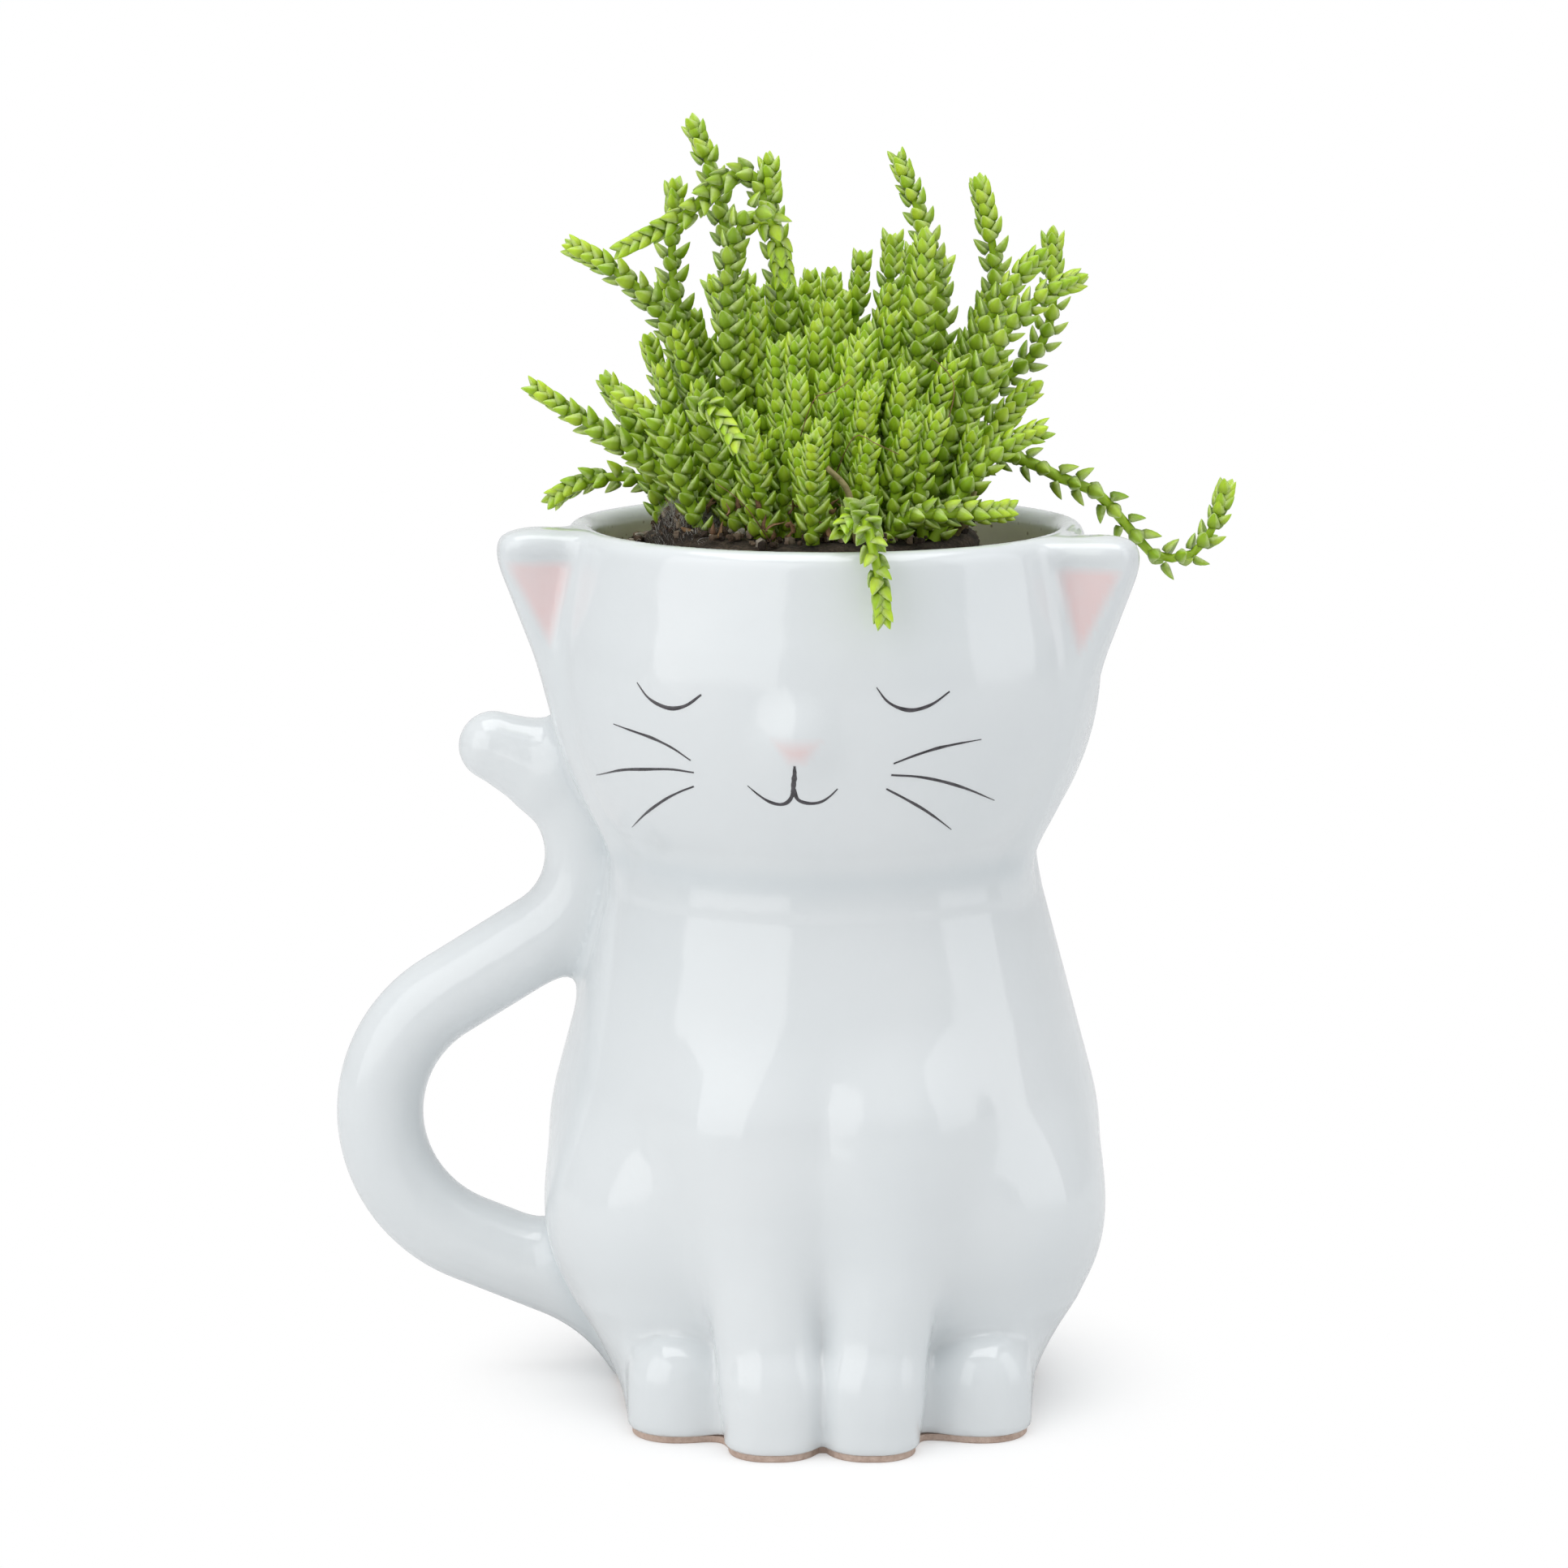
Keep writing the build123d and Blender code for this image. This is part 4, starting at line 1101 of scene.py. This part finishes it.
# Lighter at the edges and the tip: partly a pale rim, partly painted glints.
with_pale_rims_and_glints = mix_colours(tree, combine(tree, "MULTIPLY", edge, mottle), with_painted_base_shade, (0.70, 0.84, 0.36, 1))
skin = use_group(tree, grain, Scale=3200.0, Balance=1.0)["Height"]
feed(tree, shader, Base_Color=with_pale_rims_and_glints, Normal=relief(tree, skin, 0.35, 0.00012), Roughness=0.42,
     Subsurface_Weight=0.22, Subsurface_Radius=(0.0016, 0.0028, 0.0006), Coat_Weight=0.05)

woody = grainy("woody_stem", (0.13, 0.085, 0.035, 1), (0.42, 0.36, 0.16, 1), 800.0, 1.0, 0.6, 0.0002)
dry = grainy("dry_leaf", (0.085, 0.038, 0.018, 1), (0.42, 0.24, 0.12, 1), 900.0, 1.2, 0.8, 0.0003)
print(leaf.name, woody.name, dry.name)

# %% [markdown]
# ## Routes of the stems
# Each stem leans its own way in the photo. Stems could be scattered at random, but then none would stand
# where the photo has it. So the routes are the ones of the CAD model, as shares of a reach and a rise of 60
# mm from the top of the plug. Each stem has the number of its site on the plug, where the sites lie in a
# spiral, like the seeds of a sunflower.

# %% Routes
REACH, PLUG_TOP = 60.0, 131.0
ROUTE_SHARES = {
    "trailing_stem_right": (29, [
        (0.33, 0.15, 0.12), (0.43, 0.15, 0.17), (0.52, 0.13, 0.15), (0.60, 0.12, 0.11), (0.68, 0.12, 0.08),
        (0.77, 0.12, -0.02), (0.83, 0.10, -0.08), (0.92, 0.08, -0.07), (0.97, 0.07, 0.00),
        (1.00, 0.07, 0.10)]),
    "trailing_stem_front": (23, [
        (0.07, -0.37, 0.07), (0.08, -0.48, 0.10), (0.09, -0.59, 0.10), (0.10, -0.69, 0.06),
        (0.12, -0.73, -0.03), (0.13, -0.75, -0.13)]),
    "trailing_stem_left": (30, [
        (-0.40, 0.09, 0.09), (-0.48, 0.08, 0.12), (-0.57, 0.07, 0.12), (-0.63, 0.07, 0.10),
        (-0.69, 0.06, 0.06)]),
    "reclining_stem": (31, [
        (0.20, -0.33, 0.07), (0.28, -0.35, 0.08), (0.37, -0.33, 0.08), (0.45, -0.28, 0.08)]),
    "leaning_stem": (20, [
        (-0.27, -0.21, 0.20), (-0.30, -0.25, 0.32), (-0.27, -0.34, 0.33), (-0.21, -0.43, 0.25)]),
    "arching_stem_high": (17, [
        (-0.31, 0.00, 0.23), (-0.35, -0.02, 0.42), (-0.43, -0.03, 0.57), (-0.53, -0.03, 0.65),
        (-0.62, -0.03, 0.70)]),
    "arching_stem_low": (25, [
        (-0.37, -0.13, 0.13), (-0.47, -0.16, 0.21), (-0.58, -0.16, 0.28), (-0.72, -0.15, 0.37)]),
    "short_stem_left": (33, [(-0.36, -0.23, 0.18), (-0.42, -0.24, 0.30), (-0.50, -0.24, 0.36)]),
    "tall_stem_left": (14, [
        (-0.20, 0.18, 0.40), (-0.23, 0.14, 0.63), (-0.26, 0.12, 0.78), (-0.29, 0.11, 0.90),
        (-0.33, 0.10, 1.00)]),
    "forked_stem": (1, [
        (-0.09, 0.06, 0.33), (-0.11, 0.06, 0.57), (-0.13, 0.04, 0.75), (-0.14, 0.03, 0.90)]),
    "outer_stem_left": (9, [
        (-0.25, 0.08, 0.20), (-0.32, 0.08, 0.40), (-0.37, 0.08, 0.57), (-0.38, 0.08, 0.70),
        (-0.37, 0.07, 0.85)]),
    "curled_stem": (12, [
        (-0.23, -0.11, 0.25), (-0.24, -0.10, 0.55), (-0.23, -0.10, 0.70), (-0.18, -0.11, 0.79),
        (-0.13, -0.12, 0.76), (-0.11, -0.12, 0.68), (-0.10, -0.12, 0.62)]),
    "upright_stem": (24, [(0.14, 0.25, 0.30), (0.16, 0.24, 0.53), (0.17, 0.24, 0.72)]),
    "tall_stem_right": (8, [
        (0.20, 0.08, 0.22), (0.28, 0.09, 0.43), (0.28, 0.07, 0.60), (0.23, 0.02, 0.78),
        (0.18, 0.00, 0.91)]),
    "tall_stem_far_right": (16, [
        (0.24, 0.18, 0.22), (0.34, 0.17, 0.40), (0.42, 0.13, 0.58), (0.41, 0.11, 0.72),
        (0.38, 0.10, 0.85)]),
    "inner_stem_right": (13, [(0.20, -0.06, 0.23), (0.23, -0.07, 0.47), (0.24, -0.08, 0.73)]),
    "outer_stem_right_top": (37, [
        (0.32, 0.26, 0.17), (0.43, 0.24, 0.33), (0.53, 0.23, 0.42), (0.57, 0.23, 0.52), (0.57, 0.23, 0.62),
        (0.57, 0.23, 0.72)]),
    "outer_stem_right_long": (26, [
        (0.29, -0.13, 0.20), (0.36, -0.13, 0.35), (0.44, -0.12, 0.50), (0.53, -0.12, 0.59),
        (0.62, -0.12, 0.63)]),
    "outer_stem_right_middle": (21, [
        (0.29, 0.04, 0.20), (0.35, 0.03, 0.40), (0.42, 0.01, 0.55), (0.47, 0.00, 0.62),
        (0.53, 0.00, 0.68)]),
    "short_stem_right_upper": (34, [(0.36, -0.03, 0.17), (0.43, -0.04, 0.28), (0.52, -0.04, 0.36)]),
    "short_stem_right_lower": (39, [(0.34, -0.22, 0.13), (0.44, -0.21, 0.23), (0.53, -0.20, 0.27)]),
}
FORK_SHARES = [
    (-0.13, 0.04, 0.77), (-0.17, 0.03, 0.86), (-0.21, 0.02, 0.88), (-0.28, 0.00, 0.84),
    (-0.33, -0.04, 0.79), (-0.42, -0.08, 0.74), (-0.50, -0.11, 0.70)]
CROWN_SITES = {
    "crown_stems_middle": [0, 2, 4, 5, 7, 10, 3, 6, 11],
    "crown_stems_front": [15, 18, 36],
    "crown_stems_back": [19, 27, 32],
    "crown_stems_left": [22, 35, 38],
}
SITE_COUNT, SITE_RADIUS, SITE_TURN = 40, 22.3, 137.5


def site(index):
    """Place of a stem on the plug, from the middle of the plug."""
    radius, angle = SITE_RADIUS * math.sqrt((index + 0.5) / SITE_COUNT), math.radians(SITE_TURN * index)
    return np.array([radius * math.cos(angle), radius * math.sin(angle)])


def from_shares(shares):
    """Places in millimetres from shares of the reach."""
    return [np.array([x * REACH, y * REACH, PLUG_TOP + z * REACH]) for x, y, z in shares]


def on_site(spot, rise=0.0):
    """Place above a spot of the plug's top."""
    return np.array([spot[0] + PLUG_X, spot[1], PLUG_TOP + rise])


def crown_route(index):
    """Route of a short crown stem, which leans outwards more the nearer it is to the edge."""
    base = site(index)
    out = np.linalg.norm(base)
    share, way = out / SITE_RADIUS, base / out
    tip = base + way * 9.0 * share**2
    height = 33.0 - 10.0 * share**2 + 8.0 * base[1] / SITE_RADIUS
    middle = (base + tip) / 2 - way * 1.5 * share
    return [on_site(base), on_site(middle, height / 2), on_site(tip, height)]


print("routes:", len(ROUTE_SHARES), "shown,", sum(map(len, CROWN_SITES.values())), "in the crown")

# %% [markdown]
# ## Stems
# A stem is a thin green core, which hardly shows between its leaves. An array modifier along a curve could
# set the leaves, but all alike and twisting with the curve. So a stem walks up its route with a frame that
# doesn't twist, and sets a pair of leaves at each step, turned a quarter from the last. Steps and leaves
# get shorter and more upright towards the tip, which closes into a bud.

# %% Frame and core of a stem
STEM_SAMPLES, CORE_STEP, CORE_SIDES = 60, 3, 6


def steady_frame(line):
    """Tangents of a line, and side vectors that turn as little as they can along it."""
    tangents = np.gradient(line, axis=0)
    tangents /= np.linalg.norm(tangents, axis=1, keepdims=True)
    side = np.cross(tangents[0], (0.3, 1.0, 0.2))
    side /= np.linalg.norm(side)
    sides = []
    for tangent in tangents:
        side = side - tangent * (side @ tangent)
        side /= np.linalg.norm(side)
        sides.append(side)
    return tangents, np.array(sides)


def stem_core(line, tangents, sides, shares):
    """Points, faces and point values of the round core, which tapers along the stem."""
    points, values = [], []
    for i in range(0, STEM_SAMPLES, CORE_STEP):
        radius = 1.05 - 0.5 * shares[i]
        other = np.cross(tangents[i], sides[i])
        for corner in range(CORE_SIDES):
            angle = 2 * math.pi * corner / CORE_SIDES
            points.append(line[i] + radius * (math.cos(angle) * sides[i] + math.sin(angle) * other))
            values.append((0.5, 0.0, 0.25 + 0.5 * shares[i], 0.4))
    return points, ring_faces(0, len(points) // CORE_SIDES, CORE_SIDES), values


def placed_leaf(direction, across, upward, length, width, height):
    """Points of one leaf in three directions, from its root."""
    return (leaf_points[:, :1] * length * direction + leaf_points[:, 1:2] * width * across
            + leaf_points[:, 2:] * height * upward)


# %% Stem builder
TIP_MARGIN, BUD_LENGTH, SOFT_START, SOFT_LENGTH, YOUTH_LENGTH = 0.7, 1.5, 5.0, 6.0, 16.0
BUD_GAP, LEAF_ANGLE, BUD_ANGLE = 0.76, 16, 13


def leafy_stem(route, rolls, leaf_length=2.75, gap=1.55, spread=13.0):
    """Points, faces and point values of one stem with its leaves."""
    line = smooth_line(route, STEM_SAMPLES)
    lengths = np.r_[0, np.cumsum(np.linalg.norm(np.diff(line, axis=0), axis=1))]
    total = lengths[-1]
    tangents, sides = steady_frame(line)
    points, faces, values = stem_core(line, tangents, sides, lengths / total)
    turn, spot = rolls.integers(0, 2), rolls.uniform(0.8, 1.6)
    while spot < total - TIP_MARGIN:
        closing = np.clip((total - spot) / BUD_LENGTH, 0, 1)
        opening = np.clip((total - spot - SOFT_START) / SOFT_LENGTH, 0, 1)
        length = leaf_length * (0.84 + 0.16 * opening) * (0.66 + 0.34 * closing) * rolls.uniform(0.92, 1.1)
        angle = math.radians(LEAF_ANGLE + BUD_ANGLE * closing + spread * opening + rolls.normal(0, 4))
        i = int(np.searchsorted(lengths, spot).clip(0, STEM_SAMPLES - 1))
        tangent, other = tangents[i], np.cross(tangents[i], sides[i])
        axis = sides[i] if turn % 2 == 0 else other
        youth = np.clip(1.15 - (total - spot) / YOUTH_LENGTH, 0, 1) * 0.8 + 0.2 * rolls.uniform()
        for way in (-1, 1):
            out = axis * way
            direction = tangent * math.cos(angle) + out * math.sin(angle)
            upward = tangent * math.sin(angle) - out * math.cos(angle)
            width = length * rolls.uniform(0.84, 0.96)
            shape = placed_leaf(direction, np.cross(direction, upward), upward, length, width, width)
            first = len(points)
            points.extend(line[i] + out * (0.42 + 0.23 * closing + 0.17 * opening) + shape)
            faces.extend([tuple(first + corner for corner in face) for face in leaf_faces])
            chance = rolls.uniform()
            values.extend([(a, e, youth, chance) for a, e in zip(leaf_along, leaf_edge)])
        spot += (BUD_GAP + (gap - BUD_GAP) * opening) * rolls.uniform(0.9, 1.1)
        turn += 1
    return points, faces, values


def plant_piece(name, routes, seed, node=None, **habit):
    """One piece from several leafy stems."""
    rolls = np.random.default_rng(seed)
    points, faces, values = [], [], []
    for route in routes:
        new_points, new_faces, new_values = leafy_stem(route, rolls, **habit)
        faces.extend([tuple(corner + len(points) for corner in face) for face in new_faces])
        points.extend(new_points)
        values.extend(new_values)
    piece = make_object(name, points, faces, leaf)
    for column, label in enumerate(("along", "edge", "youth", "chance")):
        point_values(piece, label, [value[column] for value in values])
    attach(piece, "plant")
    if node:
        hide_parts(node)
    return piece


# %% [markdown]
# ## The plant
# Each stem that shows by itself is a piece of its own and stands for its CAD node. The crown is thicker
# than the CAD stems alone. Copies of one shoot could fill it, but the eye soon finds copies. So each
# further shoot gets its own random route, rooted on the plug and leaning outwards.

# %% Stems that stand for their nodes
SPARSE_STEMS = ("outer_stem_left", "trailing_stem_right", "trailing_stem_left", "trailing_stem_front")
SPARSE_HABIT, DENSE_HABIT = {"gap": 2.1, "spread": 24.0}, {"gap": 1.55, "spread": 13.0}
FRONT_TIP = [(5.0, -29.0, 136.6), (3.4, -33.2, 136.4), (1.7, -36.4, 134.8)]

for number, (name, (index, shares)) in enumerate(ROUTE_SHARES.items()):
    routes = [[on_site(site(index))] + from_shares(shares)]
    if name == "forked_stem":
        routes.append(from_shares(FORK_SHARES))
    if name == "trailing_stem_front":
        routes.append(FRONT_TIP)
    habit = SPARSE_HABIT if name in SPARSE_STEMS else DENSE_HABIT
    plant_piece("leafy_" + name, routes, 100 + number, name, **habit)
for number, (name, indices) in enumerate(CROWN_SITES.items()):
    plant_piece("leafy_" + name, [crown_route(index) for index in indices], 200 + number, name)
print("stems made:", len(ROUTE_SHARES), "and", len(CROWN_SITES), "groups")

# %% Further shoots of the crown
SHOOT_GROUPS, SHOOTS_EACH, SHOOT_RADIUS, SHOOT_SEED = 8, 16, 22.0, 41
CLEARINGS, CLEARING_RADIUS = np.array([(-1.0, -21.5), (-19.5, -12.0)]), 6.0
LEFT_LEAN_LIMIT, LOWEST_SHOOT = -2.5, 6


def shoot_route(rolls):
    """Random route of a shoot, or none where it would stand in a clearing."""
    angle, radius = rolls.uniform(0, 2 * math.pi), SHOOT_RADIUS * math.sqrt(rolls.uniform(0.02, 1))
    base = np.array([PLUG_X + radius * math.cos(angle), radius * math.sin(angle), PLUG_TOP + 0.3])
    if np.linalg.norm(CLEARINGS - base[:2], axis=1).min() < CLEARING_RADIUS:
        return None
    share = radius / SHOOT_RADIUS
    height = rolls.uniform(0.5, 1.0) * (34 - 5 * share**2 + 15 * share * math.sin(angle))
    lean = np.array([math.cos(angle), math.sin(angle), 0]) * rolls.uniform(0.1, 0.42) * share * height
    lean[0] = max(lean[0], LEFT_LEAN_LIMIT)
    stray = np.r_[rolls.normal(0, 2.0, 2), 0]
    tip = base + lean + stray + np.array([0, 0, max(height, LOWEST_SHOOT)])
    middle = (base + tip) / 2 - lean * 0.18 + np.r_[rolls.normal(0, 0.8, 2), 0]
    return [base, middle, tip]


shoots = np.random.default_rng(SHOOT_SEED)
for group in range(SHOOT_GROUPS):
    routes = []
    while len(routes) < SHOOTS_EACH:
        route = shoot_route(shoots)
        if route:
            routes.append(route)
    plant_piece(f"crown_shoots_{group + 1}", routes, 300 + group, leaf_length=2.6)
print("further shoots:", SHOOT_GROUPS * SHOOTS_EACH)

# %% [markdown]
# ## Woody bits
# Among the green stand a few bare woody stems, dry curled leaves and fine brown threads, as on any plant
# that has stood a while on a sill. Stems and threads could be curves with a round bevel. They are thin
# tubes of points instead, because the line and ring helpers are here already and a tube can taper. The dry
# leaves are flat curled copies of the green leaf.

# %% Woody stems
TUBE_SAMPLES = 14


def tube(points, faces, route, radius, end_radius, sides=7):
    """Adds a round tapering tube to lists of points and faces."""
    line = smooth_line(route, TUBE_SAMPLES)
    tangents = np.gradient(line, axis=0)
    first = len(points)
    for i, (spot, tangent) in enumerate(zip(line, tangents)):
        tangent = tangent / np.linalg.norm(tangent)
        side = np.cross(tangent, (0.2, 0.9, 0.1))
        side /= np.linalg.norm(side)
        other = np.cross(tangent, side)
        size = radius + (end_radius - radius) * i / (TUBE_SAMPLES - 1)
        for corner in range(sides):
            angle = 2 * math.pi * corner / sides
            points.append(spot + size * (math.cos(angle) * side + math.sin(angle) * other))
    faces.extend(ring_faces(first, TUBE_SAMPLES, sides))
    faces.append(tuple(range(len(points) - sides, len(points))))


WOODY_ROUTES = (
    ([(4.6, -20.5, 131), (3.9, -21.3, 135.1), (2.9, -21.8, 139.5), (0.0, -21.5, 142.6)], 0.6),
    ([(20.5, 2, 131), (21.5, -1, 136), (21.0, -3, 141)], 0.9),
    ([(19.0, -8, 131), (21.0, -9.5, 134.5), (22.0, -10, 139)], 0.6),
)
points, faces = [], []
for route, radius in WOODY_ROUTES:
    tube(points, faces, route, radius, radius * 0.7)
woody_stems = make_object("woody_stems", points, faces, woody)
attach(woody_stems, "plant")
print("woody stems:", len(WOODY_ROUTES))

# %% Dry leaves
DRY_COUNT, DRY_SEED, DRY_CURL, DRY_THICKNESS, DRY_LOW = 70, 51, 0.35, 0.5, 131.4
rolls = np.random.default_rng(DRY_SEED)
points, faces = [], []
for _ in range(DRY_COUNT):
    angle, radius = rolls.uniform(math.pi * 1.05, math.pi * 1.95), rolls.uniform(14, 23)
    x, y = PLUG_X + radius * math.cos(angle), radius * math.sin(angle)
    root = np.array([x, y, DRY_LOW + rolls.uniform(0, 5.0)])
    way = rolls.normal(0, 1, 3)
    way[2] = abs(way[2]) + 0.3
    way /= np.linalg.norm(way)
    flat = np.cross(way, rolls.normal(0, 1, 3))
    flat /= np.linalg.norm(flat)
    lift = np.cross(way, flat)
    length, width = rolls.uniform(1.8, 3.6), rolls.uniform(0.7, 1.4)
    shape = placed_leaf(way, flat, lift, length, width, DRY_THICKNESS * width)
    first = len(points)
    points.extend(root + shape + np.sin(leaf_points[:, :1] * 5) * DRY_CURL * lift)
    faces.extend([tuple(first + corner for corner in face) for face in leaf_faces])
dry_leaves = make_object("dry_leaves", points, faces, dry)
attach(dry_leaves, "plant")
print("dry leaves:", DRY_COUNT)

# %% Brown threads
THREAD_ROUTES = (
    [(-5, -14, 142), (-2, -20, 152), (1, -22, 153.5), (3.5, -22.5, 155.5)],
    [(1, -14, 140), (4, -21, 147), (7, -23, 146.2), (10.5, -22, 144.5)],
    [(14.5, -12, 139), (18.4, -17.5, 152), (17.5, -17, 156), (15, -16, 158)],
    [(-8, -18, 131), (-11.0, -21.5, 136), (-13.5, -21, 138.5), (-16, -19, 140)],
)
points, faces = [], []
for route in THREAD_ROUTES:
    tube(points, faces, route, 0.10, 0.06, 5)
threads = make_object("brown_threads", points, faces, dry)
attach(threads, "plant")
print("threads:", len(THREAD_ROUTES))

# %% [markdown]
# ## Floor and light
# The photo has a white ground with hardly a shadow. A bright plain world could give that, but the glaze
# would have nothing to reflect. So large soft boxes stand left and right and above, as in a photo studio,
# and show as long upright reflections in the glaze. The floor is white where the camera sees it, away from
# the pot, and plain pale for the light that it passes on.

# %% Floor
FLOOR_FRONT, FLOOR_BACK, FLOOR_HALF, FLOOR_BEND, WALL_TOP = -1.6, 0.7, 1.8, 0.5, 2.2
SHADE_NEAR, SHADE_FAR = 0.022, 0.062

floor_material, tree, shader = make_material("floor")
seen = add_node(tree, "ShaderNodeLightPath").outputs["Is Camera Ray"]
place = add_node(tree, "ShaderNodeNewGeometry").outputs["Position"]
flat = add_node(tree, "ShaderNodeVectorMath", {"operation": "MULTIPLY"}, i0=place, i1=(1, 1, 0)).outputs[0]
away = add_node(tree, "ShaderNodeVectorMath", {"operation": "LENGTH"}, i0=flat).outputs["Value"]
far = add_node(tree, "ShaderNodeMapRange", {"interpolation_type": "SMOOTHSTEP"}, Value=away,
               From_Min=SHADE_NEAR, From_Max=SHADE_FAR).outputs[0]
white = add_node(tree, "ShaderNodeEmission", Color=(1, 1, 1, 1), Strength=1.0).outputs[0]
floor_colour = mix_colours(tree, seen, (0.78, 0.78, 0.78, 1), (1, 1, 1, 1))
feed(tree, shader, Base_Color=floor_colour, Roughness=0.7, Specular_IOR_Level=0.2)
ground = add_node(tree, "ShaderNodeMixShader", i0=combine(tree, "MULTIPLY", far, seen), i1=shader.outputs[0],
                  i2=white).outputs[0]
feed(tree, tree.nodes["Material Output"], Surface=ground)

profile = [(FLOOR_FRONT, 0.0), (FLOOR_BACK, 0.0)]
profile += [(FLOOR_BACK + FLOOR_BEND * math.sin(t), FLOOR_BEND - FLOOR_BEND * math.cos(t))
            for t in np.linspace(0.1, math.pi / 2, 12)]
profile.append((FLOOR_BACK + FLOOR_BEND, WALL_TOP))
points = np.array([(x, y, z) for y, z in profile for x in (-FLOOR_HALF, FLOOR_HALF)]) / MM
faces = [(2 * i, 2 * i + 1, 2 * i + 3, 2 * i + 2) for i in range(len(profile) - 1)]
floor = make_object("floor", points, faces, floor_material)
print("floor ready")


# %% Light
def soft_box(name, place, target, width, height, power, tone=(1, 1, 1)):
    """Rectangular lamp that faces a target."""
    light = bpy.data.lights.new(name, "AREA")
    light.shape = "RECTANGLE"
    light.size, light.size_y = width, height
    light.energy = power
    light.color = tone
    lamp = bpy.data.objects.new(name, light)
    lamp.location = place
    lamp.rotation_euler = (Vector(target) - Vector(place)).to_track_quat("-Z", "Y").to_euler()
    bpy.context.scene.collection.objects.link(lamp)


soft_box("box_left", (-0.98, -0.92, 0.55), (0, 0, 0.08), 1.55, 1.7, 8.6, (1.0, 0.995, 0.985))
soft_box("box_right", (1.25, -0.25, 0.50), (0, 0, 0.08), 0.80, 1.6, 3.4, (0.99, 0.995, 1.0))
soft_box("box_top", (0.0, -0.1, 1.15), (0, 0, 0.1), 1.2, 0.9, 7.0)

world = bpy.data.worlds.new("world")
bpy.context.scene.world = world
world.use_nodes = True
tree = world.node_tree
seen = add_node(tree, "ShaderNodeLightPath").outputs["Is Camera Ray"]
sky = mix_colours(tree, seen, (0.80, 0.82, 0.84, 1), (1, 1, 1, 1))
feed(tree, tree.nodes["Background"], Color=sky, Strength=stretch(tree, seen, 0.0, 1.0, 0.62, 1.0))
bpy.context.scene.view_settings.view_transform = "Standard"
print("stage ready")
